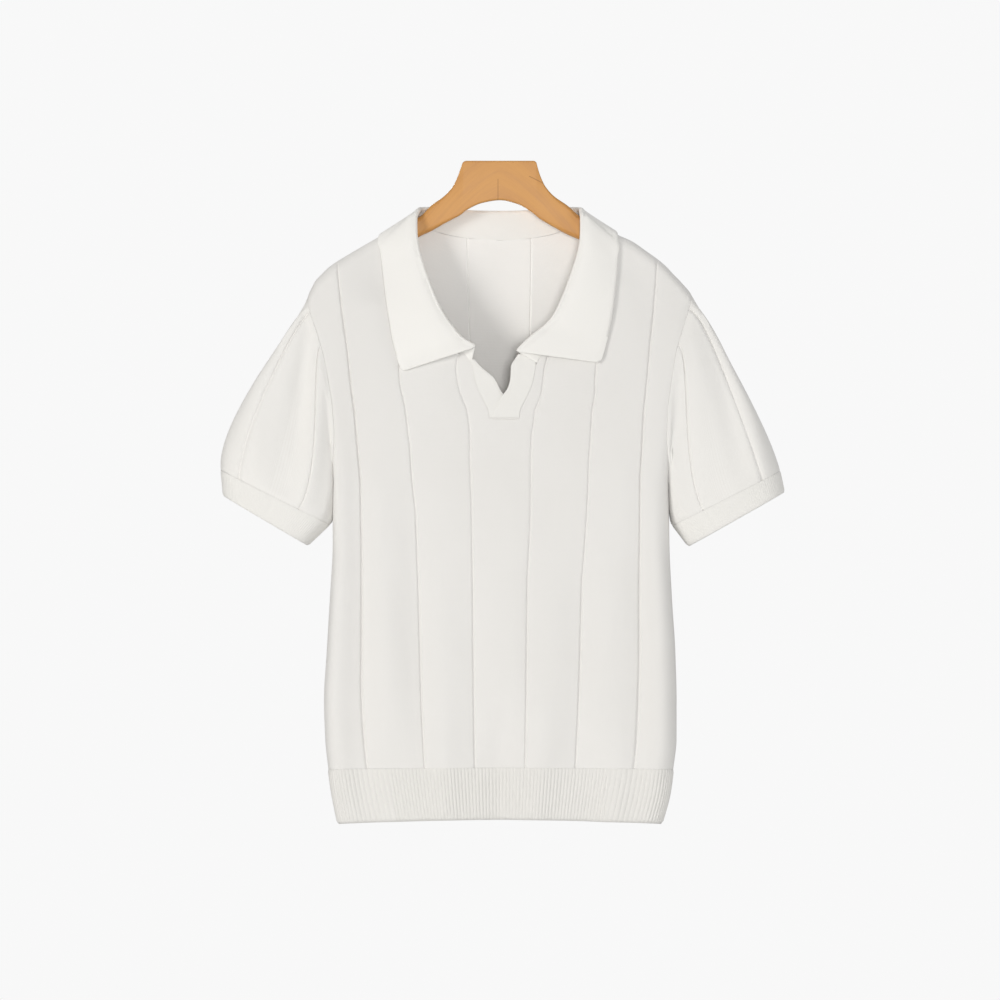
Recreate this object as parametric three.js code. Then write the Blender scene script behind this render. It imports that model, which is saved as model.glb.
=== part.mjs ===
// A short-sleeved knit polo shirt with an open collar, hung on a plain wooden hanger.
// Millimetres, +Z up. The origin is the middle of the hanger's flat top. The front of the
// shirt faces -Y, and "left" and "right" are the sides as seen from the front.

import * as THREE from 'three';

// Cloth walls and the gap that pieces keep at a seam
const bodyWall = 1.8;
const sleeveWall = 1.8;
const ribWall = 2.2;
const collarWall = 2.4;
const plackWall = 2.0;
const seamGap = 0.4;

// Panels: s runs across the knit from the middle, t runs down from the shoulder seam
const sideSeamS = 215;
const grooveS = [-155, -93, -31, 31, 93, 155];
const grooveHalf = 1.8;
const grooveDepth = 0.9;
const pitT = 260;
const hemTopT = 577;
const hemBottomT = 638;
const hemRise = 5.5;

// The cloth turns over the hanger's arm on a quarter ellipse
const foldOverY = 15;
const foldOverZ = 13;
const foldOverT = 22;
const levelZ = -100;
const levelT = 250;

// Placket slot in the front panel
const slotHalf = 16;
const slotBottomZ = -283;
const slotTopZ = -226;
const slotShift = 4.6;
const shiftZone = { bottomZ: -330, fullBottomZ: -285, fullTopZ: -215, topZ: -150, nearS: 40, farS: 150 };

// Hem rib
const hemRibs = 100;
const ribHeight = 0.7;

// Sleeves and cuffs
const cuffTaper = 0.03;
const cuffColumns = 44;
const cuffRoundness = 0.8;
const cuffFullness = 0.78;
const cuffLines = {
  left: {
    top: { outerX: -307, outerZ: -340, innerX: -187, innerZ: -400 },
    hem: { outerX: -304.5, outerZ: -368, innerX: -211, innerZ: -423 },
  },
  right: {
    top: { outerX: 308, outerZ: -341, innerX: 189.5, innerZ: -401 },
    hem: { outerX: 313, outerZ: -364, innerX: 207, innerZ: -424 },
  },
};
const sleeveHalfDepth = 43;
const sleeveTopPull = { left: 72, right: 112 };
const sleeveEndPull = 0.8;
const sleevePullPower = 1.5;
const pitPull = { out: 29, down: 14 };
const sleeveGrooves = [{ t: 30 }, { t: 86 }];
const sleeveGrooveHalf = 2;
const sleeveTurn = [
  { t: 0, angle: 0 },
  { t: 14, angle: 26 },
  { t: 30, angle: 57 },
  { t: 56, angle: 82 },
  { t: 86, angle: 108 },
  { t: 136, angle: 130 },
  { t: 198, angle: 151 },
  { t: 240, angle: 170 },
  { t: 260, angle: 180 },
];

const tableShoulder = [
  { s: 0, leftZ: -44, rightZ: -44 },
  { s: 30, leftZ: -45.5, rightZ: -45.5 },
  { s: 60, leftZ: -51, rightZ: -51 },
  { s: 80, leftZ: -59.5, rightZ: -59.5 },
  { s: 100, leftZ: -72, rightZ: -71 },
  { s: 118, leftZ: -85, rightZ: -82 },
  { s: 130, leftZ: -93, rightZ: -88 },
  { s: 142, leftZ: -101, rightZ: -97 },
  { s: 162, leftZ: -115, rightZ: -113 },
  { s: 176, leftZ: -129, rightZ: -128 },
  { s: 201, leftZ: -152, rightZ: -149 },
  { s: 215, leftZ: -166, rightZ: -163 },
];

// How far the knit's lines stand out from the middle at each height, as a share of s,
// and how wide the visible body is there
const tableWidth = [
  { z: -60, leftScale: 1.16, rightScale: 1.12, leftW: 219, rightW: 219 },
  { z: -110, leftScale: 1.15, rightScale: 1.11, leftW: 217, rightW: 217 },
  { z: -165, leftScale: 1.11, rightScale: 1.08, leftW: 214, rightW: 214 },
  { z: -218, leftScale: 1.06, rightScale: 1.04, leftW: 206, rightW: 207 },
  { z: -274, leftScale: 1.03, rightScale: 1.015, leftW: 196, rightW: 198 },
  { z: -320, leftScale: 1.01, rightScale: 1.0, leftW: 188, rightW: 190 },
  { z: -355, leftScale: 0.99, rightScale: 0.99, leftW: 184, rightW: 185.5 },
  { z: -417, leftScale: 0.975, rightScale: 0.98, leftW: 183.7, rightW: 186 },
  { z: -483, leftScale: 0.955, rightScale: 0.96, leftW: 187, rightW: 189 },
  { z: -538, leftScale: 0.94, rightScale: 0.945, leftW: 190.3, rightW: 192.5 },
  { z: -593, leftScale: 0.925, rightScale: 0.925, leftW: 193.4, rightW: 194 },
  { z: -635, leftScale: 0.905, rightScale: 0.905, leftW: 192, rightW: 194 },
  { z: -668, leftScale: 0.885, rightScale: 0.885, leftW: 188.6, rightW: 190.4 },
  { z: -695, leftScale: 0.855, rightScale: 0.855, leftW: 184.8, rightW: 186.8 },
  { z: -730, leftScale: 0.81, rightScale: 0.81, leftW: 177.9, rightW: 177.5 },
];

// Half depth of the body, and where its flat front ends and its side begins to round away
const tableDepth = [
  { t: 22, half: 15, flatS: 178 },
  { t: 50, half: 18, flatS: 175 },
  { t: 90, half: 22.5, flatS: 169 },
  { t: 140, half: 28, flatS: 159 },
  { t: 200, half: 34.5, flatS: 147 },
  { t: 260, half: 39, flatS: 137 },
  { t: 340, half: 42, flatS: 134 },
  { t: 460, half: 42.5, flatS: 134 },
  { t: 577, half: 40, flatS: 136 },
  { t: 640, half: 34, flatS: 139 },
];
const sideFullness = 3.8;

// Between its grooves each column of the knit stands a little proud
const puffHeight = 2.6;
const puffFade = { topT: 20, fullTopT: 90, fullHemT: 520, hemT: 600 };

const tableArmhole = [
  { t: 0, s: 201 },
  { t: 22, s: 197 },
  { t: 60, s: 189 },
  { t: 110, s: 183 },
  { t: 160, s: 181 },
  { t: 200, s: 184 },
  { t: 230, s: 192 },
  { t: 250, s: 204 },
  { t: 260, s: 215 },
];

// Half opening of the neckline, by height on the front and by t on the back
const tableFrontNeck = [
  { z: -63, s: 86 },
  { z: -80, s: 87 },
  { z: -113, s: 83.5 },
  { z: -140, s: 75 },
  { z: -165, s: 63 },
  { z: -182, s: 51 },
  { z: -195, s: 40 },
  { z: -207, s: 30 },
  { z: -218, s: 20.5 },
  { z: slotTopZ, s: slotHalf },
];
const tableBackNeck = [
  { t: 0, s: 86 },
  { t: 12, s: 83 },
  { t: 24, s: 74 },
  { t: 33, s: 60 },
  { t: 39, s: 47 },
  { t: 44, s: 28 },
  { t: 46.5, s: 0 },
];

// The open V pushes the cloth beside it outward
const tableSpread = [
  { z: -290, push: 0 },
  { z: -276, push: 1 },
  { z: -264, push: 6.2 },
  { z: -255, push: 10.6 },
  { z: -243, push: 15 },
  { z: -226, push: 17.5 },
  { z: -190, push: 14 },
  { z: -150, push: 9 },
  { z: -110, push: 3 },
  { z: -70, push: 0 },
];
const tableSpreadReach = [
  { s: 0, share: 1 },
  { s: 31, share: 1 },
  { s: 93, share: 0.5 },
  { s: 155, share: 0.12 },
  { s: 215, share: 0 },
];

// Soft folds: height out of the cloth (a trough is below 0), its line and its reach. They die
// away where the body is less deep than this.
const foldFadeDepth = 12;
const frontFolds = [
  { height: -3.5, topS: -163, bottomS: -171, halfWidth: 11, topZ: -330, bottomZ: -500 },
  { height: -3.0, topS: -118, bottomS: -126, halfWidth: 13, topZ: -430, bottomZ: -640 },
  { height: 3.5, topS: -74, bottomS: -70, halfWidth: 13, topZ: -420, bottomZ: -650 },
  { height: -3.5, topS: -50, bottomS: -52, halfWidth: 11, topZ: -470, bottomZ: -690 },
  { height: 2.8, topS: 6, bottomS: 2, halfWidth: 14, topZ: -470, bottomZ: -690 },
  { height: -3.2, topS: 52, bottomS: 56, halfWidth: 12, topZ: -430, bottomZ: -660 },
  { height: 2.5, topS: 76, bottomS: 78, halfWidth: 11, topZ: -430, bottomZ: -640 },
  { height: -3.0, topS: 120, bottomS: 136, halfWidth: 14, topZ: -520, bottomZ: -710 },
  { height: 3.0, topS: 168, bottomS: 172, halfWidth: 12, topZ: -380, bottomZ: -610 },
];
const backFolds = [
  { height: -3.2, topS: -120, bottomS: -128, halfWidth: 13, topZ: -330, bottomZ: -640 },
  { height: 3.0, topS: -62, bottomS: -58, halfWidth: 14, topZ: -400, bottomZ: -660 },
  { height: -3.4, topS: 4, bottomS: -4, halfWidth: 13, topZ: -360, bottomZ: -680 },
  { height: 2.8, topS: 66, bottomS: 60, halfWidth: 13, topZ: -420, bottomZ: -640 },
  { height: -3.0, topS: 124, bottomS: 130, halfWidth: 14, topZ: -380, bottomZ: -660 },
];

// Collar: neck seam by its t on the back or its height on the front, fold and leaf edge
const collarBack = [
  { t: 46.5, foldX: 0, foldZ: -57, edgeS: 0, edgeT: 59, bulge: 3 },
  { t: 44, foldX: 29, foldZ: -56.5, edgeS: 35, edgeT: 58, bulge: 3 },
  { t: 39, foldX: 50, foldZ: -55.2, edgeS: 61, edgeT: 52, bulge: 3 },
  { t: 33, foldX: 65, foldZ: -53.5, edgeS: 82, edgeT: 43, bulge: 2.5 },
  { t: 24, foldX: 77, foldZ: -52.8, edgeS: 99, edgeT: 31, bulge: 1.5 },
];
// Where the collar crosses the shoulder, on both faces
const collarShoulder = [
  { t: 12, foldX: 85, foldY: 10, backFoldZ: -53, frontFoldZ: -59, backEdgeS: 110, frontEdgeS: 115.5,
    edgeT: 18, bulge: 0.8 },
  { t: 6, foldX: 88.5, foldY: 5, backFoldZ: -53.5, frontFoldZ: -56, backEdgeS: 113, frontEdgeS: 115,
    edgeT: 9, bulge: 0.5 },
  { t: 0, foldX: 89.5, foldY: 0, backFoldZ: -54.5, frontFoldZ: -54.5, backEdgeS: 114.5,
    frontEdgeS: 114.5, edgeT: 0, bulge: 0.5 },
];
const collarFront = {
  left: [
    { seamZ: -79, foldX: 93.2, foldZ: -62, edgeX: 131, edgeZ: -97 },
    { seamZ: -96, foldX: 93.2, foldZ: -78, edgeX: 129.5, edgeZ: -113 },
    { seamZ: -113, foldX: 90.7, foldZ: -97, edgeX: 128, edgeZ: -129 },
    { seamZ: -131, foldX: 85.2, foldZ: -117, edgeX: 126, edgeZ: -147 },
    { seamZ: -149, foldX: 78.2, foldZ: -137, edgeX: 123.8, edgeZ: -164 },
    { seamZ: -165, foldX: 70.7, foldZ: -156, edgeX: 121.2, edgeZ: -179 },
    { seamZ: -181, foldX: 61.7, foldZ: -173, edgeX: 118.8, edgeZ: -194 },
    { seamZ: -195, foldX: 51.7, foldZ: -186, edgeX: 115.8, edgeZ: -207 },
    { seamZ: -207, foldX: 43.2, foldZ: -195.5, edgeX: 112.5, edgeZ: -220 },
    { seamZ: -217, foldX: 34, foldZ: -203, edgeX: 108.8, edgeZ: -228.5 },
    { seamZ: -223, foldX: 30.5, foldZ: -207.5, edgeX: 104.5, edgeZ: -231.5 },
  ],
  right: [
    { seamZ: -79, foldX: 90.2, foldZ: -62, edgeX: 130.5, edgeZ: -95 },
    { seamZ: -96, foldX: 90.2, foldZ: -78, edgeX: 129, edgeZ: -111 },
    { seamZ: -113, foldX: 88.2, foldZ: -97, edgeX: 128, edgeZ: -127 },
    { seamZ: -131, foldX: 82.7, foldZ: -117, edgeX: 126.3, edgeZ: -144 },
    { seamZ: -149, foldX: 75.7, foldZ: -137, edgeX: 124.5, edgeZ: -160 },
    { seamZ: -165, foldX: 68.2, foldZ: -156, edgeX: 122.5, edgeZ: -174 },
    { seamZ: -181, foldX: 59.7, foldZ: -173, edgeX: 120, edgeZ: -187 },
    { seamZ: -195, foldX: 49.7, foldZ: -186, edgeX: 117.3, edgeZ: -199 },
    { seamZ: -207, foldX: 40.2, foldZ: -195.5, edgeX: 114.3, edgeZ: -210 },
    { seamZ: -217, foldX: 31, foldZ: -203, edgeX: 111.6, edgeZ: -219 },
    { seamZ: -223, foldX: 26, foldZ: -207.5, edgeX: 108, edgeZ: -223 },
  ],
};
const neckGap = 1.7;
const backLean = 1.4;
const foldRadius = 1.7;
const foldLift = 4.5;
const leafLift = 3.6;
const frontBulge = 3;

// Placket bands: the open edge by height, how far the border lies in from the slot's side,
// and how far border and edge stand out of the panel
const plackRight = [
  { z: -213, edgeX: 21, borderIn: 21, borderOut: 2.6, edgeOut: 2.6 },
  { z: -219, edgeX: 16, borderIn: 10.5, borderOut: 2.2, edgeOut: 2.2 },
  { z: slotTopZ, edgeX: 12.1, borderIn: 0, borderOut: 1.6, edgeOut: 1.6 },
  { z: -240, edgeX: 11.3, borderIn: 0, borderOut: 1.6, edgeOut: 1.6 },
  { z: -250, edgeX: 8.5, borderIn: 0, borderOut: 1.6, edgeOut: 1.6 },
  { z: -260, edgeX: 1.5, borderIn: 0, borderOut: 1.6, edgeOut: 1.6 },
  { z: -271, edgeX: -4, borderIn: 0, borderOut: 1.6, edgeOut: 1.6 },
  { z: slotBottomZ, edgeX: -10, borderIn: 0, borderOut: 1.6, edgeOut: 1.6 },
];
const plackLeft = [
  { z: slotTopZ, edgeX: -22, borderIn: 0, borderOut: 0.8, edgeOut: 0.8 },
  { z: -240, edgeX: -6.2, borderIn: 0, borderOut: 0.5, edgeOut: 0.2 },
  { z: -250, edgeX: -0.9, borderIn: 0, borderOut: 0, edgeOut: -0.9 },
  { z: -260, edgeX: 5, borderIn: 0, borderOut: -0.6, edgeOut: -1 },
  { z: -271, edgeX: 7, borderIn: 0, borderOut: -1, edgeOut: -1 },
  { z: slotBottomZ, edgeX: 5, borderIn: 0, borderOut: -1, edgeOut: -1 },
];

// Hanger: top, underside and half thickness along half of its length
const tableHanger = [
  { leftX: 0, rightX: 0, topZ: 0, leftBottomZ: -43, rightBottomZ: -43, half: 8, corner: 2 },
  { leftX: 19, rightX: 19, topZ: 0, leftBottomZ: -45.9, rightBottomZ: -47.2, half: 8, corner: 2 },
  { leftX: 37, rightX: 37, topZ: 0, leftBottomZ: -54, rightBottomZ: -57.8, half: 8, corner: 2 },
  { leftX: 40.7, rightX: 39.8, topZ: -1.6, leftBottomZ: -57, rightBottomZ: -60.2, half: 8, corner: 2 },
  { leftX: 43.2, rightX: 41.6, topZ: -8, leftBottomZ: -59, rightBottomZ: -61.8, half: 8, corner: 2.2 },
  { leftX: 46.4, rightX: 44.5, topZ: -17, leftBottomZ: -61, rightBottomZ: -64, half: 8, corner: 2.4 },
  { leftX: 51.7, rightX: 49.8, topZ: -28, leftBottomZ: -63.8, rightBottomZ: -67.2, half: 8, corner: 2.8 },
  { leftX: 61, rightX: 59, topZ: -38.5, leftBottomZ: -68.6, rightBottomZ: -72.6, half: 8, corner: 3.5 },
  { leftX: 75.5, rightX: 74, topZ: -49, leftBottomZ: -77, rightBottomZ: -80.8, half: 8, corner: 5 },
  { leftX: 87.3, rightX: 87.3, topZ: -60.5, leftBottomZ: -82.5, rightBottomZ: -86.6, half: 7.4, corner: 6 },
];
const hangerArm = [
  { x: 98, depth: 24, half: 8, corner: 6.5 },
  { x: 112, depth: 24, half: 8.2, corner: 7 },
  { x: 124, depth: 24, half: 8.5, corner: 7 },
  { x: 136, depth: 24, half: 8.8, corner: 7.4 },
  { x: 146, depth: 24, half: 9.2, corner: 7.8 },
  { x: 158, depth: 23, half: 9.6, corner: 8.2 },
  { x: 170, depth: 22, half: 10, corner: 8.6 },
  { x: 181, depth: 18, half: 8.5, corner: 7.2, lower: 0.5 },
  { x: 187, depth: 13, half: 6, corner: 4.8, lower: 1.5 },
];
const hangerUnderCloth = 1.6;

const clothColor = 0xefece4;
const ribColor = 0xece9e0;
const woodColor = 0xc98a45;
const clothRoughness = 0.95;
const woodRoughness = 0.45;

// A table's column at a place, as a smooth curve through its rows
function tableAt(table, key, column, place) {
  const last = table.length - 1;
  const rising = table[last][key] > table[0][key];
  const order = rising ? 1 : -1;
  if ((place - table[0][key]) * order <= 0) return table[0][column];
  if ((place - table[last][key]) * order >= 0) return table[last][column];
  let i = 0;
  while ((place - table[i + 1][key]) * order > 0) i++;
  const slope = (a, b) => (table[b][column] - table[a][column]) / (table[b][key] - table[a][key]);
  const here = slope(i, i + 1);
  const easeSlope = (one, two) => (one * two <= 0 ? 0 : (2 * one * two) / (one + two));
  const startSlope = i > 0 ? easeSlope(slope(i - 1, i), here) : here;
  const endSlope = i + 1 < last ? easeSlope(here, slope(i + 1, i + 2)) : here;
  const step = table[i + 1][key] - table[i][key];
  const u = (place - table[i][key]) / step;
  const a = table[i][column];
  const b = table[i + 1][column];
  return a * (1 + 2 * u) * (1 - u) ** 2 + step * startSlope * u * (1 - u) ** 2
    + b * u * u * (3 - 2 * u) + step * endSlope * u * u * (u - 1);
}

function ease(from, to, value) {
  const u = Math.min(1, Math.max(0, (value - from) / (to - from)));
  return u * u * (3 - 2 * u);
}

function sideName(value) {
  return value < 0 ? 'left' : 'right';
}

function foldHeight(folds, s, z) {
  let sum = 0;
  for (const fold of folds) {
    const along = (z - fold.topZ) / (fold.bottomZ - fold.topZ);
    if (along <= 0 || along >= 1) continue;
    const middle = fold.topS + (fold.bottomS - fold.topS) * along;
    const across = (s - middle) / fold.halfWidth;
    sum += fold.height * Math.sin(Math.PI * along) * Math.exp(-across * across);
  }
  return sum;
}

function puffAt(s, t) {
  const pitch = grooveS[1] - grooveS[0];
  const across = 2 * (s / pitch - Math.round(s / pitch));
  const share = ease(puffFade.topT, puffFade.fullTopT, t) * (1 - ease(puffFade.fullHemT, puffFade.hemT, t));
  return puffHeight * share * (1 - across * across);
}

// A point of the body's outer face. face is -1 on the front and 1 on the back.
function bodyPoint(s, t, face) {
  const side = Math.sign(s) || 1;
  const name = sideName(s);
  const reach = Math.abs(s);
  const level = ease(0, levelT, t);
  const turn = Math.min(1, t / foldOverT) * Math.PI / 2;
  const drop = foldOverZ * (1 - Math.cos(turn)) + Math.max(0, t - foldOverT);
  const shoulderZ = tableAt(tableShoulder, 's', name + 'Z', reach);
  const rise = hemRise * (1 - (reach / sideSeamS) ** 2) * ease(hemTopT - 40, hemBottomT, t);
  const z = shoulderZ * (1 - level) + levelZ * level - drop + rise;

  const scale = tableAt(tableWidth, 'z', name + 'Scale', z);
  const width = tableAt(tableWidth, 'z', name + 'W', z);
  const flatS = tableAt(tableDepth, 't', 'flatS', t);
  const half = t < foldOverT ? foldOverY * Math.sin(turn) : tableAt(tableDepth, 't', 'half', t);
  let x = Math.min(reach, flatS) * scale;
  let depth = half;
  if (reach > flatS) {
    const round = (reach - flatS) / (sideSeamS - flatS) * Math.PI / 2;
    x += (width - x) * Math.sin(round);
    depth = half * (1 - Math.sin(round) ** sideFullness) ** (1 / sideFullness);
  }
  if (face < 0) {
    const push = tableAt(tableSpread, 'z', 'push', z);
    x += push * tableAt(tableSpreadReach, 's', 'share', reach);
  }
  x *= side;
  if (face < 0) {
    const near = ease(shiftZone.bottomZ, shiftZone.fullBottomZ, z)
      * (1 - ease(shiftZone.fullTopZ, shiftZone.topZ, z));
    x += slotShift * near * (1 - ease(shiftZone.nearS, shiftZone.farS, reach));
  }
  const folds = face < 0 ? frontFolds : backFolds;
  depth += (foldHeight(folds, s, z) + puffAt(s, t)) * Math.min(1, depth / foldFadeDepth);
  return new THREE.Vector3(x, face * (depth + seamGap / 2), z);
}

// The way out of the cloth there. On a seam between front and back it has no Y in it.
function bodyNormal(s, t, face) {
  const step = 0.5;
  const along = bodyPoint(Math.min(s + step, sideSeamS), t, face)
    .sub(bodyPoint(Math.max(s - step, -sideSeamS), t, face));
  const down = bodyPoint(s, t + step, face).sub(bodyPoint(s, Math.max(t - step, 0), face));
  const normal = along.cross(down).multiplyScalar(face);
  if (t < 0.01 || Math.abs(s) > sideSeamS - 0.01) normal.y = 0;
  normal.normalize();
  if (t < 0.01 && normal.z < 0) normal.negate();
  if (Math.abs(s) > sideSeamS - 0.01 && normal.x * s < 0) normal.negate();
  if (t >= 0.01 && Math.abs(s) <= sideSeamS - 0.01 && normal.y * face < 0) normal.negate();
  return normal;
}

// The place (s, t) of a point of the front or back that is seen at (x, z)
function findOnBody(x, z, face) {
  let s = x;
  let t = -z - 60;
  for (let i = 0; i < 60; i++) {
    const p = bodyPoint(s, Math.max(t, 0), face);
    s = Math.min(sideSeamS, Math.max(-sideSeamS, s + (x - p.x) * 0.7));
    t = Math.max(0, t + (p.z - z) * 0.7);
  }
  return { s, t };
}

// Collects the points and faces of one closed piece
class Solid {
  constructor() {
    this.points = [];
    this.faces = [];
  }

  point(p) {
    this.points.push(p.x, p.y, p.z);
    return this.points.length / 3 - 1;
  }

  face(a, b, c) {
    if (a !== b && b !== c && c !== a) this.faces.push(a, b, c);
  }

  quad(a, b, c, d) {
    this.face(a, b, c);
    this.face(a, c, d);
  }

  mesh(name, color, roughness) {
    let volume = 0;
    const at = (i) => new THREE.Vector3(...this.points.slice(3 * i, 3 * i + 3));
    for (let i = 0; i < this.faces.length; i += 3) {
      const [a, b, c] = [0, 1, 2].map((k) => at(this.faces[i + k]));
      volume += a.dot(b.cross(c));
    }
    if (volume < 0) this.faces.reverse();
    const geometry = new THREE.BufferGeometry();
    geometry.setAttribute('position', new THREE.Float32BufferAttribute(this.points, 3));
    geometry.setIndex(this.faces);
    geometry.computeVertexNormals();
    const material = new THREE.MeshStandardMaterial({ color, roughness, metalness: 0 });
    const mesh = new THREE.Mesh(geometry, material);
    mesh.name = name;
    return mesh;
  }
}

// Cuts a flat convex outline at a line of constant s, keeping one side
function clipAt(outline, line, keepAbove) {
  const kept = [];
  const inside = (p) => (keepAbove ? p[0] >= line - 1e-7 : p[0] <= line + 1e-7);
  outline.forEach((p, i) => {
    const q = outline[(i + 1) % outline.length];
    if (inside(p)) kept.push(p);
    if (inside(p) !== inside(q)) {
      const u = (line - p[0]) / (q[0] - p[0]);
      kept.push([line, p[1] + u * (q[1] - p[1])]);
    }
  });
  return kept;
}

// A wall over a flat cut shape. Each row has one or two spans of s; the shape between two
// rows is cut at the lines of constant s, and both faces and the rim are made from the cells.
function panelWall(name, rows, lines, face, color) {
  const solid = new Solid();
  const known = new Map();
  const cells = [];
  const corner = (p) => {
    const key = p[0].toFixed(3) + ' ' + p[1].toFixed(3);
    if (!known.has(key)) known.set(key, { s: p[0], t: p[1], index: known.size });
    return known.get(key).index;
  };
  for (let r = 0; r + 1 < rows.length; r++) {
    rows[r].spansBelow.forEach((upper, k) => {
      const lower = rows[r + 1].spansAbove[k];
      const strip = [[upper[0], rows[r].t], [upper[1], rows[r].t],
        [lower[1], rows[r + 1].t], [lower[0], rows[r + 1].t]];
      for (let i = 0; i + 1 < lines.length; i++) {
        const cell = clipAt(clipAt(strip, lines[i], true), lines[i + 1], false);
        const ring = cell.map(corner).filter((v, j, all) => v !== all[(j + 1) % all.length]);
        if (ring.length > 2) cells.push(ring);
      }
    });
  }
  const places = [...known.values()];
  const outer = [];
  const inner = [];
  for (const { s, t } of places) {
    const p = bodyPoint(s, t, face);
    const n = bodyNormal(s, t, face);
    inner.push(solid.point(p.clone().addScaledVector(n, -bodyWall)));
    const onGroove = grooveS.some((line) => Math.abs(line - s) < 0.01);
    outer.push(solid.point(onGroove && t > 0.01 ? p.addScaledVector(n, -grooveDepth) : p));
  }
  const edges = new Set();
  for (const ring of cells) {
    ring.forEach((a, j) => edges.add(a + ' ' + ring[(j + 1) % ring.length]));
    for (let j = 1; j + 1 < ring.length; j++) {
      solid.face(outer[ring[0]], outer[ring[j]], outer[ring[j + 1]]);
      solid.face(inner[ring[0]], inner[ring[j + 1]], inner[ring[j]]);
    }
  }
  for (const edge of edges) {
    const [a, b] = edge.split(' ').map(Number);
    if (!edges.has(b + ' ' + a)) solid.quad(outer[b], outer[a], inner[a], inner[b]);
  }
  return solid.mesh(name, color, clothRoughness);
}

const rowT = [0, 7, 14, 22, 38, 56, 76, 96, 116, 136, 156, 176, 198, 220, 240, 260,
  300, 340, 380, 420, 460, 500, 540, hemTopT];

// The rows of a panel: the ones that its neckline or slot needs, and the even ones that keep
// clear of them
const keepOff = 7;
function mergeRows(needed) {
  const even = rowT.filter((t) => t === 0 || needed.every((other) => Math.abs(t - other) > keepOff));
  return [...even, ...needed].sort((a, b) => a - b);
}

function panelLines() {
  const lines = [0, slotHalf, 62, 124, 139, 170, 185, 200, sideSeamS];
  for (const s of grooveS.filter((value) => value > 0)) {
    lines.push(s - grooveHalf, s, s + grooveHalf);
  }
  return [...new Set(lines.flatMap((s) => [s, -s]))].sort((a, b) => a - b);
}

function outerS(t) {
  return t >= pitT ? sideSeamS : tableAt(tableArmhole, 't', 's', t);
}

// The t at which the front's cloth line s comes to the height z
function solveT(s, z) {
  let low = 0;
  let high = hemBottomT;
  for (let i = 0; i < 50; i++) {
    const middle = (low + high) / 2;
    if (bodyPoint(s, middle, -1).z > z) low = middle;
    else high = middle;
  }
  return (low + high) / 2;
}

const slotBottomT = solveT(slotHalf, slotBottomZ);
const slotTopT = solveT(slotHalf, slotTopZ);
const neckBottomT = tableBackNeck[tableBackNeck.length - 1].t;
const frontRows = mergeRows(plackLeft.map((row) => solveT(slotHalf, row.z)));
const backRows = mergeRows(tableBackNeck.slice(3).map((row) => row.t));
const frontNeckByT = tableFrontNeck.map((row, i) => ({ t: i ? solveT(row.s, row.z) : 0, s: row.s }));

function frontNeckS(t) {
  return t >= slotTopT ? slotHalf : tableAt(frontNeckByT, 't', 's', t);
}

function backNeckS(t) {
  return tableAt(tableBackNeck, 't', 's', t);
}

// Spans of a panel's rows: two halves beside its opening, one whole span below it
function panelRows(all, neckS, openingEndT) {
  return all.map((t) => {
    const whole = [[-outerS(t), outerS(t)]];
    const halves = [[-outerS(t), -neckS(t)], [neckS(t), outerS(t)]];
    return {
      t,
      spansAbove: t <= openingEndT + 1e-6 ? halves : whole,
      spansBelow: t < openingEndT - 1e-6 ? halves : whole,
    };
  });
}

function makeFront() {
  const rows = panelRows(frontRows, frontNeckS, slotBottomT);
  return panelWall('front', rows, panelLines(), -1, clothColor);
}

function makeBack() {
  const rows = panelRows(backRows, backNeckS, neckBottomT);
  return panelWall('back', rows, panelLines(), 1, clothColor);
}

// The hem rib of one face: raised ribs outside, a plain face inside
function makeHemRib(name, face) {
  const solid = new Solid();
  const perInner = 4;
  const outerCount = hemRibs * 2;
  const innerCount = outerCount / perInner;
  const top = hemTopT + seamGap;
  const lines = [top, hemBottomT].map((t) => {
    const outer = [];
    const inner = [];
    for (let i = 0; i <= outerCount; i++) {
      const s = -sideSeamS + 2 * sideSeamS * i / outerCount;
      const p = bodyPoint(s, t, face);
      const crest = i % 2 === 1 ? ribHeight : 0;
      outer.push(solid.point(p.addScaledVector(bodyNormal(s, t, face), crest)));
    }
    for (let i = 0; i <= innerCount; i++) {
      const s = -sideSeamS + 2 * sideSeamS * i / innerCount;
      const p = bodyPoint(s, t, face);
      inner.push(solid.point(p.addScaledVector(bodyNormal(s, t, face), -ribWall)));
    }
    return { outer, inner };
  });
  const [high, low] = lines;
  for (let i = 0; i < outerCount; i++) {
    solid.quad(high.outer[i], high.outer[i + 1], low.outer[i + 1], low.outer[i]);
  }
  for (let i = 0; i < innerCount; i++) {
    solid.quad(high.inner[i + 1], high.inner[i], low.inner[i], low.inner[i + 1]);
    for (let k = 0; k < perInner; k++) {
      const j = i * perInner + k;
      solid.face(high.outer[j + 1], high.outer[j], high.inner[i]);
      solid.face(low.outer[j], low.outer[j + 1], low.inner[i]);
    }
    const end = (i + 1) * perInner;
    solid.face(high.outer[end], high.inner[i], high.inner[i + 1]);
    solid.face(low.outer[end], low.inner[i + 1], low.inner[i]);
  }
  for (const [i, j, flip] of [[0, 0, false], [outerCount, innerCount, true]]) {
    const ring = [high.outer[i], low.outer[i], low.inner[j], high.inner[j]];
    if (flip) ring.reverse();
    solid.quad(...ring);
  }
  return solid.mesh(name, ribColor, clothRoughness);
}

// A rod or band from rings of the same number of points, closed at both ends
function loftRings(name, rings, color, roughness) {
  const solid = new Solid();
  const indexed = rings.map((ring) => ring.map((p) => solid.point(p)));
  const count = rings[0].length;
  for (let i = 0; i + 1 < rings.length; i++) {
    for (let j = 0; j < count; j++) {
      const k = (j + 1) % count;
      solid.quad(indexed[i][j], indexed[i][k], indexed[i + 1][k], indexed[i + 1][j]);
    }
  }
  capRing(solid, indexed[0], true);
  capRing(solid, indexed[rings.length - 1], false);
  return solid.mesh(name, color, roughness);
}

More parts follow.
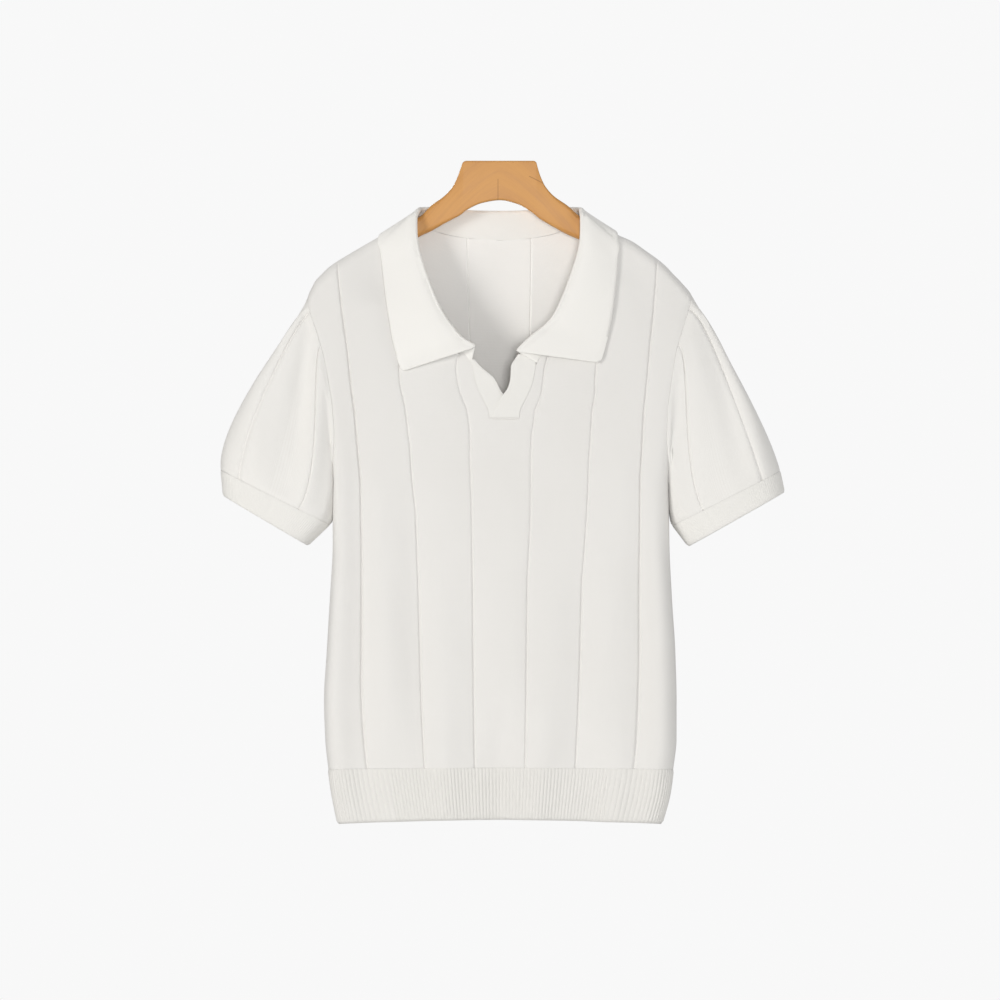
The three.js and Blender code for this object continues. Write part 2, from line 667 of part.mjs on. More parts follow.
// Closes a ring made of two facing rows of points, as a strip across it
function capRing(solid, ring, flip) {
  const count = ring.length;
  for (let j = 0; j + 1 < count / 2; j++) {
    const corners = [ring[j], ring[j + 1], ring[count - 2 - j], ring[count - 1 - j]];
    if (flip) corners.reverse();
    solid.quad(...corners);
  }
}

// Columns of a sleeve, from the shoulder down the front to the pit and up the back. Each
// starts at a place t of the armhole; a groove has a column on each side of it.
function sleeveColumns() {
  const columns = [];
  const along = (rows, face) => {
    const plain = rows.filter((t) => t <= pitT && sleeveGrooves.every((g) =>
      Math.abs(t - g.t) > 2 * sleeveGrooveHalf)).map((t) => ({ t, face, groove: false }));
    const grooved = sleeveGrooves.flatMap((g) => [-1, 0, 1].map((k) =>
      ({ t: g.t + k * sleeveGrooveHalf, face, groove: k === 0 })));
    return [...plain, ...grooved].sort((one, two) => one.t - two.t);
  };
  columns.push(...along(frontRows, -1));
  columns.push(...along(backRows, 1).slice(1, -1).reverse());
  return columns;
}

// A place on the armhole's edge, on the straight line between the panel's rows
function armholeSpot(side, { t, face }) {
  const rows = face < 0 ? frontRows : backRows;
  let i = 0;
  while (rows[i + 1] < t) i++;
  const part = (t - rows[i]) / (rows[i + 1] - rows[i]);
  const at = (row) => bodyPoint(side * outerS(row), row, face);
  const normalAt = (row) => bodyNormal(side * outerS(row), row, face);
  const spot = at(rows[i]).lerp(at(rows[i + 1]), part);
  const normal = normalAt(rows[i]).lerp(normalAt(rows[i + 1]), part).normalize();
  if (t === 0 || t >= pitT) spot.y = 0;
  return { spot, normal };
}

// The armhole with, at each column, the way that leads off the body
function armholeRing(side, columns) {
  const edge = columns.map((column) => armholeSpot(side, column));
  const count = edge.length;
  return edge.map(({ spot, normal }, i) => {
    const along = edge[(i + 1) % count].spot.clone().sub(edge[(i + count - 1) % count].spot);
    const away = normal.clone().cross(along).multiplyScalar(side).normalize();
    return { spot, normal, away };
  });
}

// A place on the cuff at a column's angle, along being the share of the way down the cuff
function cuffPoint(angle, side, along) {
  const lines = cuffLines[sideName(side)];
  const turn = THREE.MathUtils.degToRad(angle);
  const across = Math.sign(Math.cos(turn)) * Math.abs(Math.cos(turn)) ** cuffRoundness;
  const onLine = ({ outerX, outerZ, innerX, innerZ }) => new THREE.Vector3(
    (outerX + innerX) / 2 + across * (outerX - innerX) / 2, 0,
    (outerZ + innerZ) / 2 + across * (outerZ - innerZ) / 2);
  const deep = Math.sign(Math.sin(turn)) * Math.abs(Math.sin(turn)) ** cuffFullness;
  const depth = -sleeveHalfDepth * deep * (1 - cuffTaper * along);
  return onLine(lines.top).lerp(onLine(lines.hem), along).setY(depth);
}

// The way up the sleeve, square to the line where sleeve and cuff meet
function cuffUpward(side) {
  const { outerX, outerZ, innerX, innerZ } = cuffLines[sideName(side)].top;
  const up = new THREE.Vector3(outerZ - innerZ, 0, innerX - outerX).normalize();
  return up.z < 0 ? up.negate() : up;
}

function columnAngle({ t, face }) {
  return -face * tableAt(sleeveTurn, 't', 'angle', t);
}

// A place down a sleeve's column, u running from the armhole to the cuff
function sleevePoint(place, column, side, u) {
  const angle = columnAngle(column);
  const end = cuffPoint(angle, side, 0);
  const under = Math.abs(angle) / 180;
  const topPull = sleeveTopPull[sideName(side)] * (1 - under) ** sleevePullPower;
  const leave = place.away.clone().multiplyScalar(topPull)
    .add(new THREE.Vector3(side * pitPull.out, 0, -pitPull.down).multiplyScalar(under));
  const arrive = cuffPoint(angle, side, 1).sub(end).setY(0).normalize()
    .multiplyScalar(sleeveEndPull * place.spot.distanceTo(end));
  const a = 2 * u ** 3 - 3 * u ** 2 + 1;
  return place.spot.clone().multiplyScalar(a).addScaledVector(leave, u ** 3 - 2 * u ** 2 + u)
    .addScaledVector(end, 1 - a).addScaledVector(arrive, u ** 3 - u ** 2);
}

// A wall between rings of outer points, with its inner points along the surface's normals
function wallRings(name, rings, normals, wall, color) {
  const solid = new Solid();
  const outer = rings.map((ring) => ring.map((spot) => solid.point(spot)));
  const inner = rings.map((ring, i) => ring.map((spot, j) =>
    solid.point(spot.clone().addScaledVector(normals[i][j], -wall))));
  const count = rings[0].length;
  const last = rings.length - 1;
  for (let j = 0; j < count; j++) {
    const k = (j + 1) % count;
    for (let i = 0; i < last; i++) {
      solid.quad(outer[i][j], outer[i][k], outer[i + 1][k], outer[i + 1][j]);
      solid.quad(inner[i][k], inner[i][j], inner[i + 1][j], inner[i + 1][k]);
    }
    solid.quad(outer[0][k], outer[0][j], inner[0][j], inner[0][k]);
    solid.quad(outer[last][j], outer[last][k], inner[last][k], inner[last][j]);
  }
  return solid.mesh(name, color, clothRoughness);
}

function gridNormals(rings, outwardFrom) {
  const count = rings[0].length;
  return rings.map((ring, i) => ring.map((p, j) => {
    const across = ring[(j + 1) % count].clone().sub(ring[(j + count - 1) % count]);
    const one = rings[Math.max(0, i - 1)][j];
    const two = rings[Math.min(rings.length - 1, i + 1)][j];
    const n = across.cross(two.clone().sub(one)).normalize();
    return n.dot(p.clone().sub(outwardFrom[i])) < 0 ? n.negate() : n;
  }));
}

function ringMiddle(ring) {
  return ring.reduce((sum, p) => sum.add(p), new THREE.Vector3()).divideScalar(ring.length);
}

function flattenNormals(row, side) {
  const up = cuffUpward(side);
  row.forEach((n) => n.addScaledVector(up, -n.dot(up)).normalize());
}

function makeSleeve(side) {
  const columns = sleeveColumns();
  const armhole = armholeRing(side, columns);
  const steps = [0, 0.1, 0.25, 0.42, 0.6, 0.8, 1];
  const last = steps.length - 1;
  const rings = steps.map((u) => columns.map((column, j) => sleevePoint(armhole[j], column, side, u)));
  const normals = gridNormals(rings, rings.map(ringMiddle));
  armhole.forEach((place, j) => {
    normals[0][j] = place.normal;
    rings[0][j].addScaledVector(place.away, seamGap);
  });
  flattenNormals(normals[last], side);
  rings[last].forEach((p) => p.addScaledVector(cuffUpward(side), seamGap));
  rings.forEach((row, i) => row.forEach((p, j) => {
    if (columns[j].groove && i > 0) p.addScaledVector(normals[i][j], -grooveDepth);
  }));
  return wallRings('sleeve_' + sideName(side), rings, normals, sleeveWall, clothColor);
}

function makeCuff(side) {
  const rings = [0, 0.5, 1].map((along) => Array.from({ length: cuffColumns }, (unused, j) =>
    cuffPoint(360 * j / cuffColumns, side, along)));
  const normals = gridNormals(rings, rings.map(ringMiddle));
  normals.forEach((row) => flattenNormals(row, side));
  return wallRings('cuff_' + sideName(side), rings, normals, ribWall, ribColor);
}

// The collar's stations, from the left front end round the back to the right front end
function collarStations() {
  const onBody = (s, t, face, lift) =>
    bodyPoint(s, t, face).addScaledVector(bodyNormal(s, t, face), lift);
  const onFront = (x, z, lift) => {
    const { s, t } = findOnBody(x, z, -1);
    return onBody(s, t, -1, lift);
  };
  // The stand's lower edge, off the neckline and square to it
  const seamBeside = (side, t, face, fold) => {
    const neckS = (place) => side * (face < 0 ? frontNeckS(place) : backNeckS(place));
    const seam = onBody(neckS(t), t, face, -bodyWall / 2);
    const along = t === 0 ? new THREE.Vector3(0, 1, 0)
      : bodyPoint(neckS(t), t, face).sub(bodyPoint(neckS(t - 1), t - 1, face));
    if (t === 0) seam.y = 0;
    const away = along.cross(bodyNormal(neckS(t), t, face)).normalize();
    if (away.dot(fold.clone().sub(seam)) < 0) away.negate();
    return seam.addScaledVector(away, neckGap);
  };
  const half = (side) => {
    const back = collarBack.map((row) => {
      const neckS = side * backNeckS(row.t);
      const fold = new THREE.Vector3(
        side * row.foldX, bodyPoint(neckS, row.t, 1).y - backLean, row.foldZ);
      return {
        seam: seamBeside(side, row.t, 1, fold),
        fold,
        edge: onBody(side * row.edgeS, row.edgeT, 1, leafLift),
        bulge: row.bulge,
      };
    });
    const overShoulder = (row, face) => {
      const foldZ = face < 0 ? row.frontFoldZ : row.backFoldZ;
      const fold = new THREE.Vector3(side * row.foldX, face * row.foldY, foldZ);
      const edgeS = face < 0 ? row.frontEdgeS : row.backEdgeS;
      const edge = onBody(side * edgeS, row.edgeT, face, leafLift);
      if (row.t === 0) edge.y = 0;
      return { seam: seamBeside(side, row.t, face, fold), fold, edge, bulge: row.bulge };
    };
    const front = collarFront[sideName(side)].map((row) => {
      const neckS = side * tableAt(tableFrontNeck, 'z', 's', row.seamZ);
      const seamT = solveT(neckS, row.seamZ);
      const fold = onFront(side * row.foldX, row.foldZ, 0);
      fold.y = Math.min(fold.y - foldLift, bodyPoint(neckS, seamT, -1).y + 1);
      return {
        seam: seamBeside(side, seamT, -1, fold),
        fold,
        edge: onFront(side * row.edgeX, row.edgeZ, leafLift),
        bulge: frontBulge,
      };
    });
    return [
      ...back,
      ...collarShoulder.map((row) => overShoulder(row, 1)),
      ...collarShoulder.slice(0, -1).reverse().map((row) => overShoulder(row, -1)),
      ...front,
    ];
  };
  return [...half(-1).slice(1).reverse(), ...half(1)];
}

function makeCollar() {
  const stations = collarStations();
  const rings = stations.map((station, i) => {
    const before = stations[Math.max(0, i - 1)];
    const after = stations[Math.min(stations.length - 1, i + 1)];
    const along = after.fold.clone().sub(before.fold).normalize();
    const rise = station.fold.clone().sub(station.seam).normalize();
    const out = rise.clone().cross(along).normalize();
    const standTop = station.fold.clone().addScaledVector(out, -foldRadius);
    const leafTop = station.fold.clone().addScaledVector(out, foldRadius);
    const leafAt = (u) => leafTop.clone().lerp(station.edge, u)
      .addScaledVector(out, station.bulge * Math.sin(Math.PI * Math.sqrt(u)));
    const middle = [
      station.seam,
      station.seam.clone().lerp(standTop, 0.55),
      standTop,
      station.fold.clone().addScaledVector(rise, foldRadius),
      leafTop,
      leafAt(0.22),
      leafAt(0.6),
      station.edge,
    ];
    const sideways = middle.map((p, j) => {
      const a = middle[Math.max(0, j - 1)];
      const b = middle[Math.min(middle.length - 1, j + 1)];
      const tangent = b.clone().sub(a).normalize();
      return tangent.cross(along).normalize();
    });
    const shift = (amount) => middle.map((p, j) => p.clone().addScaledVector(sideways[j], amount));
    return [...shift(collarWall / 2), ...shift(-collarWall / 2).reverse()];
  });
  return loftRings('collar', rings, ribColor, clothRoughness);
}

// A placket band: rows across it from the slot's side to its open edge
function makePlacket(name, table, side) {
  const rings = table.map((row, i) => {
    const neckS = row.z > slotTopZ ? tableAt(tableFrontNeck, 'z', 's', row.z) : slotHalf;
    const t = solveT(neckS, row.z) - (i === table.length - 1 ? seamGap : 0);
    const border = bodyPoint(side * neckS, t, -1);
    const startX = border.x - side * (seamGap + row.borderIn);
    const spots = [0, 0.5, 1].map((u) => {
      const out = row.borderOut + (row.edgeOut - row.borderOut) * u;
      return new THREE.Vector3(startX + (row.edgeX - startX) * u, border.y - out, border.z);
    });
    const behind = spots.map((p) => p.clone().add(new THREE.Vector3(0, plackWall, 0)));
    return [...spots, ...behind.reverse()];
  });
  return loftRings(name, rings, ribColor, clothRoughness);
}

// The hanger's section at one place: a rectangle with rounded corners
function hangerRing(x, topZ, bottomZ, half, corner) {
  const ring = [];
  const corners = [[1, 1, 0], [-1, 1, 90], [-1, -1, 180], [1, -1, 270]];
  for (const [ySide, zSide, start] of corners) {
    for (const turn of [0, 45, 90]) {
      const angle = THREE.MathUtils.degToRad(start + turn);
      const y = ySide * (half - corner) + corner * Math.cos(angle);
      const zMiddle = zSide > 0 ? topZ - corner : bottomZ + corner;
      ring.push(new THREE.Vector3(x, y, zMiddle + corner * Math.sin(angle)));
    }
  }
  return ring;
}

function makeHanger() {
  const armRing = (row, side) => {
    const s = findOnBody(side * row.x, -60, 1).s;
    const top = bodyPoint(s, 0, 1);
    const topZ = top.z - bodyWall - hangerUnderCloth - (row.lower || 0);
    return hangerRing(top.x, topZ, topZ - row.depth, row.half, row.corner);
  };
  const half = (side) => [
    ...tableHanger.map((row) => hangerRing(
      side * row[sideName(side) + 'X'], row.topZ, row[sideName(side) + 'BottomZ'],
      row.half, row.corner)),
    ...hangerArm.map((row) => armRing(row, side)),
  ];
  const rings = [...half(-1).slice(1).reverse(), ...half(1)];
  return loftRings('hanger', rings, woodColor, woodRoughness);
}

const shirt = new THREE.Group();
shirt.add(
  makeFront(),
  makeBack(),
  makeSleeve(-1),
  makeSleeve(1),
  makeCuff(-1),
  makeCuff(1),
  makeHemRib('hem_rib_front', -1),
  makeHemRib('hem_rib_back', 1),
  makeCollar(),
  makePlacket('placket_left', plackLeft, -1),
  makePlacket('placket_right', plackRight, 1),
  makeHanger(),
);

export default shirt;
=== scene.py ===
# A short-sleeved knit polo shirt on a wooden hanger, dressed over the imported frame.
# The cloth's rules are worked out in millimetres, with +Z up and the front facing -Y.
import math

import bpy
import numpy as np
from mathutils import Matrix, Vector


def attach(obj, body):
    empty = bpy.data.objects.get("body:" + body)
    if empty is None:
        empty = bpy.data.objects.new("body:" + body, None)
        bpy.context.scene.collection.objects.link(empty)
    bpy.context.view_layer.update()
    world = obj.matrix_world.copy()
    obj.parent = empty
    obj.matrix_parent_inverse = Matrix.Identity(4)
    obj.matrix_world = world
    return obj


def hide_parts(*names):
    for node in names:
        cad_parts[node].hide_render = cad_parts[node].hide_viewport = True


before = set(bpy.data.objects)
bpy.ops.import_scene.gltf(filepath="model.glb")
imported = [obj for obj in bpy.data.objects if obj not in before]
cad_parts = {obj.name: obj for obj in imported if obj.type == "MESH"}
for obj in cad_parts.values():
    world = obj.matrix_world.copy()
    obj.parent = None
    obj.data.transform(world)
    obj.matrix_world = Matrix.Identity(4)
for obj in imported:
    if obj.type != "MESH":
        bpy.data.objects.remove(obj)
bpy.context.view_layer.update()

metre = 0.001
scene = bpy.context.scene
print("frame loaded")

body = {
    "wall": 1.8, "seamGap": 0.16, "sideSeamS": 215, "grooveS": [-155, -93, -31, 31, 93, 155],
    "grooveDepth": [1.9, 1.3, 1.15, 1.15, 1.25, 1.7], "grooveHalf": 1.15, "frontBacking": 0.45,
    "backShare": 0.42, "insideDepth": 0.85, "insideHalf": 0.5, "puffHeight": 3.4,
    "puffSmallShare": 0.45, "sideFullness": 5.2, "pitT": 260, "hemTopT": 577, "hemBottomT": 638,
    "hemRise": 5.5, "hemRiseT": 40, "foldOverY": 15, "foldOverZ": 13, "foldOverT": 22,
    "levelZ": -100, "levelT": 250, "seamPinch": 0.3, "seamPinchHalf": 1.8,
    "waveHeights": (0.5, 0.3), "waveSideFade": 25, "waveTopFade": 60, "fadeDepth": 12,
    "grooveTopFade": 14,
}
# The panels' own grid: lines lie closer together at grooves, side seams and the hem
panelGrid = {
    "lineStep": 3.2, "lineGap": 1.6, "grooveLines": [0, 0.5, 1.1, 1.8, 2.8, 4.2],
    "sideLines": [0, 1.5, 3.6], "rowStep": 4.2, "rowGap": 1.8, "hemRows": [0, 1.4, 3],
    "slotRows": 14, "backNeckT": 20, "backNeckRows": 22,
}
finder = {"topZ": -60, "tries": 60, "share": 0.7, "halvings": 40}
slotPlace = {"half": 16, "bottomZ": -283, "topZ": -226, "shift": 4.6}
# How far the four middle grooves lean aside below the collar, by height, and how far beside
# them the lean is felt: less far from the middle two towards the placket
columnLean = {
    "z": [-460, -388, -351, -318, -300, -277, -263, -241, -229, -212],
    "x": {
        -93: [0, -1, -4, -4.8, -7.6, -9.6, -8.6, -7.4, -6.5, 0],
        -31: [0, -0.5, -1.3, -2.3, -5, -7.4, -6.3, -3.4, -2.4, 0],
        31: [0, 3, 3.3, 2.5, 0.4, 1.4, 0.4, -4.8, -5.6, 0],
        93: [0, 3.5, 4.8, 4.9, 4.3, 3.7, 2.7, -1.4, -2.2, 0],
    },
    "reach": 62, "reachToSlot": 13,
}
shiftZone = {"bottomZ": -330, "fullBottomZ": -285, "fullTopZ": -215, "topZ": -150, "nearS": 40, "farS": 150}

shoulderLine = {
    "s": [0, 30, 60, 80, 100, 118, 130, 142, 162, 176, 201, 215],
    "left": [-44, -45.5, -51, -59.5, -72, -85, -93, -101, -115, -129, -152, -166],
    "right": [-44, -45.5, -51, -59.5, -71, -82, -88, -97, -113, -128, -149, -163],
}
widthLine = {
    "z": [-60, -110, -165, -218, -274, -320, -355, -417, -483, -538, -593, -635, -668, -695, -730],
    "leftScale": [1.16, 1.15, 1.11, 1.06, 1.03, 1.01, .99, .975, .955, .94, .925, .905, .885, .855, .81],
    "rightScale": [1.12, 1.11, 1.08, 1.04, 1.015, 1.0, .99, .98, .96, .945, .925, .905, .885, .855, .81],
    "left": [219, 217, 214, 206, 196, 188, 184, 183.7, 187, 190.3, 193.4, 192, 188.6, 184.8, 177.9],
    "right": [219, 217, 214, 207, 198, 190, 185.5, 186, 189, 192.5, 194, 194, 190.4, 186.8, 177.5],
}
depthLine = {
    "t": [22, 50, 90, 140, 200, 260, 340, 460, 577, 640],
    "half": [15, 18, 22.5, 28, 34.5, 39, 42, 42.5, 40, 34],
    "flatS": [178, 175, 169, 159, 147, 137, 134, 134, 136, 139],
}
puffFade = {"topT": 20, "fullTopT": 90, "smallT": 290, "fullT": 420, "fullHemT": 530, "hemT": 610}
armholeLine = {
    "t": [0, 22, 60, 110, 160, 200, 230, 250, 260],
    "s": [201, 197, 189, 183, 181, 184, 192, 204, 215],
}
frontNeckLine = {
    "z": [-63, -80, -113, -140, -165, -182, -195, -207, -218, slotPlace["topZ"]],
    "s": [86, 87, 83.5, 75, 63, 51, 40, 30, 20.5, slotPlace["half"]],
}
backNeckLine = {"t": [0, 12, 24, 33, 39, 44, 46.5], "s": [86, 83, 74, 60, 47, 28, 0]}
spreadLine = {
    "z": [-290, -276, -264, -255, -243, -226, -190, -150, -110, -70],
    "push": [0, 1, 6.2, 10.6, 15, 17.5, 14, 9, 3, 0],
}
spreadReach = {"s": [0, 31, 93, 155, 215], "share": [1, 1, .5, .12, 0]}

# Long soft folds: height, s at the top and bottom, half width, z of the top and bottom
frontFolds = [
    (-6, -117, -117, 26, -75, -158), (-2, 126, 126, 18, -79, -140),
    (-6.5, -156, -160, 16, -250, -860), (1.5, -190, -190, 14, -300, -800),
    (2.0, -134, -138, 16, -330, -720), (-2.6, -97, -101, 15, -330, -740),
    (2.0, -66, -70, 20, -420, -700), (2.2, 26, 26, 20, -360, -700),
    (-2.8, 88, 92, 24, -360, -760), (-3.2, 153, 156, 12, -300, -800),
    (2.2, 175, 178, 13, -340, -760), (-2.4, -130, -135, 14, -590, -860),
    (3.6, -68, -72, 21, -570, -870), (-4.4, -1, -3, 20, -570, -870),
    (3.6, 50, 48, 19, -570, -870), (-2.2, 110, 117, 17, -570, -870),
    (3.0, 146, 149, 12, -590, -860),
]
backFolds = [
    (-3.2, -120, -128, 15, -330, -800), (3.2, -62, -58, 18, -420, -860),
    (-3.6, 4, -4, 17, -380, -860), (3.0, 66, 60, 17, -420, -860),
    (-3.0, 124, 130, 15, -380, -800),
]


# A smooth curve through the rows of a table
def tableAt(keys, values, place):
    keys, values = np.asarray(keys, float), np.asarray(values, float)
    if keys[-1] < keys[0]:
        keys, values = keys[::-1], values[::-1]
    place = np.clip(np.asarray(place, float), keys[0], keys[-1])
    slopes = np.diff(values) / np.diff(keys)
    ends = np.concatenate([slopes[:1], np.zeros(len(keys) - 2), slopes[-1:]])
    product, total = slopes[:-1] * slopes[1:], slopes[:-1] + slopes[1:]
    ends[1:-1] = np.where(product > 0, 2 * product / np.where(product > 0, total, 1), 0)
    i = np.clip(np.searchsorted(keys, place, side="right") - 1, 0, len(keys) - 2)
    step = keys[i + 1] - keys[i]
    u = (place - keys[i]) / step
    return (values[i] * (1 + 2 * u) * (1 - u) ** 2 + step * ends[i] * u * (1 - u) ** 2
            + values[i + 1] * u * u * (3 - 2 * u) + step * ends[i + 1] * u * u * (u - 1))


def ease(low, high, value):
    u = np.clip((value - low) / (high - low), 0, 1)
    return u * u * (3 - 2 * u)


def unit(vectors):
    return vectors / np.maximum(np.linalg.norm(vectors, axis=-1, keepdims=True), 1e-12)


# A table's value at a place, from the column of the side that s is on
def bySide(table, s, keys, place, left="left", right="right"):
    leftValue, rightValue = (tableAt(table[keys], table[column], place) for column in (left, right))
    return np.where(s < 0, leftValue, rightValue)


def foldHeight(folds, s, z):
    total = np.zeros(np.broadcast(s, z).shape)
    for height, topS, bottomS, halfWidth, topZ, bottomZ in folds:
        along = np.clip((z - topZ) / (bottomZ - topZ), 0, 1)
        across = (s - topS - (bottomS - topS) * along) / halfWidth
        total = total + height * np.sin(np.pi * along) * np.exp(-across * across)
    return total


# Between its grooves each column of the knit stands a little proud
def puffAt(s, t):
    pitch = body["grooveS"][1] - body["grooveS"][0]
    across = 2 * (s / pitch - np.round(s / pitch))
    share = (ease(puffFade["topT"], puffFade["fullTopT"], t)
             * (1 - ease(puffFade["fullHemT"], puffFade["hemT"], t)))
    low = body["puffSmallShare"]
    share = share * (low + (1 - low) * ease(puffFade["smallT"], puffFade["fullT"], t))
    return body["puffHeight"] * share * (1 - across * across)


# How far the cloth of the front leans aside beside its middle grooves
def leanAt(s, z):
    lean = np.zeros(np.shape(s))
    for at, x in columnLean["x"].items():
        wide = ((s - at) * at > 0) | (abs(at) > columnLean["reach"])
        share = 1 - np.abs(s - at) / np.where(wide, columnLean["reach"], columnLean["reachToSlot"])
        lean = lean + tableAt(columnLean["z"], x, z) * np.maximum(0, share)
    return lean


# A point of the body's outer face: s across the knit, t down it, face -1 front, 1 back
def bodyPoint(s, t, face):
    s, t = np.broadcast_arrays(np.asarray(s, float), np.asarray(t, float))
    side, reach, seamS = np.where(s < 0, -1.0, 1.0), np.abs(s), body["sideSeamS"]
    level = ease(0, body["levelT"], t)
    turn = np.minimum(1, t / body["foldOverT"]) * np.pi / 2
    drop = body["foldOverZ"] * (1 - np.cos(turn)) + np.maximum(0, t - body["foldOverT"])
    shoulderZ = bySide(shoulderLine, s, "s", reach)
    rise = (body["hemRise"] * (1 - (reach / seamS) ** 2)
            * ease(body["hemTopT"] - body["hemRiseT"], body["hemBottomT"], t))
    z = shoulderZ * (1 - level) + body["levelZ"] * level - drop + rise
    scale = bySide(widthLine, s, "z", z, "leftScale", "rightScale")
    width = bySide(widthLine, s, "z", z)
    flatS = tableAt(depthLine["t"], depthLine["flatS"], t)
    half = np.where(t < body["foldOverT"], body["foldOverY"] * np.sin(turn),
                    tableAt(depthLine["t"], depthLine["half"], t))
    turned = np.sin(np.clip((reach - flatS) / (seamS - flatS), 0, 1) * np.pi / 2)
    flatX = np.minimum(reach, flatS) * scale
    x = (flatX + (width - flatX) * turned) * side
    depth = half * np.maximum(0, 1 - turned ** body["sideFullness"]) ** (1 / body["sideFullness"])
    if face < 0:
        push = tableAt(spreadLine["z"], spreadLine["push"], z)
        x = x + push * tableAt(spreadReach["s"], spreadReach["share"], reach) * side
        near = (ease(shiftZone["bottomZ"], shiftZone["fullBottomZ"], z)
                * (1 - ease(shiftZone["fullTopZ"], shiftZone["topZ"], z)))
        x = x + slotPlace["shift"] * near * (1 - ease(shiftZone["nearS"], shiftZone["farS"], reach))
        x = x + leanAt(s, z)
    folds = frontFolds if face < 0 else backFolds
    depth = depth + (foldHeight(folds, s, z) + puffAt(s, t)) * np.minimum(1, depth / body["fadeDepth"])
    return np.stack([x, face * (depth + body["seamGap"] / 2), z], -1)


def bodyNormal(s, t, face):
    s, t = np.broadcast_arrays(np.asarray(s, float), np.asarray(t, float))
    step, limit = 0.5, body["sideSeamS"]
    along = (bodyPoint(np.minimum(s + step, limit), t, face)
             - bodyPoint(np.maximum(s - step, -limit), t, face))
    down = bodyPoint(s, t + step, face) - bodyPoint(s, np.maximum(t - step, 0), face)
    normal = np.cross(along, down) * face
    atShoulder, atSide = t < 0.01, np.abs(s) > limit - 0.01
    normal[..., 1] = np.where(atShoulder | atSide, 0, normal[..., 1])
    normal = unit(normal)
    wrong = (atShoulder & (normal[..., 2] < 0)) | (atSide & (normal[..., 0] * s < 0))
    wrong |= ~atShoulder & ~atSide & (normal[..., 1] * face < 0)
    return normal * np.where(wrong, -1, 1)[..., None]


# The place (s, t) of a point of the front or back that is seen at (x, z)
def findOnBody(x, z, face):
    s, t = float(x), finder["topZ"] - float(z)
    for _ in range(finder["tries"]):
        p = bodyPoint(s, max(t, 0), face)
        s = min(body["sideSeamS"], max(-body["sideSeamS"], s + (x - p[0]) * finder["share"]))
        t = max(0, t + (p[2] - z) * finder["share"])
    return s, t


# The t at which the front's cloth line s comes to the height z
def solveT(s, z):
    s, z = np.broadcast_arrays(np.asarray(s, float), np.asarray(z, float))
    low, high = np.zeros(s.shape), np.full(s.shape, float(body["hemBottomT"]))
    for _ in range(finder["halvings"]):
        middle = (low + high) / 2
        above = bodyPoint(s, middle, -1)[..., 2] > z
        low, high = np.where(above, middle, low), np.where(above, high, middle)
    return (low + high) / 2


slotTopT = float(solveT(slotPlace["half"], slotPlace["topZ"]))
slotBottomT = float(solveT(slotPlace["half"], slotPlace["bottomZ"]))
neckRowT = solveT(frontNeckLine["s"], frontNeckLine["z"])
neckRowT[0] = 0


def frontNeckS(t):
    return np.where(t >= slotTopT, slotPlace["half"], tableAt(neckRowT, frontNeckLine["s"], t))


def backNeckS(t):
    return tableAt(backNeckLine["t"], backNeckLine["s"], t)


def outerS(t):
    return np.where(t >= body["pitT"], body["sideSeamS"], tableAt(armholeLine["t"], armholeLine["s"], t))


def addObject(name, data):
    made = bpy.data.objects.new(name, data)
    scene.collection.objects.link(made)
    return made


# A mesh object from points in millimetres, with a UV for each corner in metres of cloth
def makePiece(name, points, faces, loopUv, smoothAngle=60, attributes=None):
    mesh = bpy.data.meshes.new(name)
    mesh.from_pydata((np.asarray(points) * metre).tolist(), [], faces)
    layer = mesh.uv_layers.new(name="UVMap")
    layer.data.foreach_set("uv", (np.asarray(loopUv, float) * metre).ravel())
    for key, values in (attributes or {}).items():
        stored = mesh.attributes.new(key, "FLOAT", "POINT")
        stored.data.foreach_set("value", np.asarray(values, np.float32))
    mesh.validate()
    mesh.shade_smooth()
    mesh.set_sharp_from_angle(angle=math.radians(smoothAngle))
    return addObject(name, mesh)


# Whether the faces of a closed shell are turned outwards
def outwardFaces(points, faces):
    points = np.asarray(points)
    fans = [(face[0], face[j], face[j + 1]) for face in faces for j in range(1, len(face) - 1)]
    a, b, c = (points[np.array(fans)[:, k]] for k in range(3))
    return np.sum(a * np.cross(b, c)) > 0


# The part of an outline on one side of a line of constant s
def clipAt(outline, line, sign):
    kept = []
    for p, q in zip(outline, outline[1:] + outline[:1]):
        pIn, qIn = ((point[0] - line) * sign >= -1e-7 for point in (p, q))
        if pIn:
            kept.append(p)
        if pIn != qIn:
            u = (line - p[0]) / (q[0] - p[0])
            kept.append((line, p[1] + u * (q[1] - p[1])))
    return kept


# The needed places, with evenly spread ones wherever those leave room
def fillBetween(needed, start, end, step, gap):
    places = sorted(set(needed))
    count = int((end - start) / step)
    for i in range(count + 1):
        place = start + (end - start) * i / count
        if all(abs(place - other) > gap for other in places):
            places.append(place)
    return sorted(places)


def panelLines():
    edge = body["sideSeamS"]
    lines = [g + sign * o for g in body["grooveS"] for o in panelGrid["grooveLines"] for sign in (-1, 1)]
    lines += [sign * (edge - o) for o in panelGrid["sideLines"] for sign in (-1, 1)]
    return fillBetween(lines, -edge, edge, panelGrid["lineStep"], panelGrid["lineGap"])


def panelRows(needed):
    end = body["hemTopT"]
    rows = [*needed, 0, *(end - o for o in panelGrid["hemRows"])]
    return fillBetween(rows, 0, end, panelGrid["rowStep"], panelGrid["rowGap"])


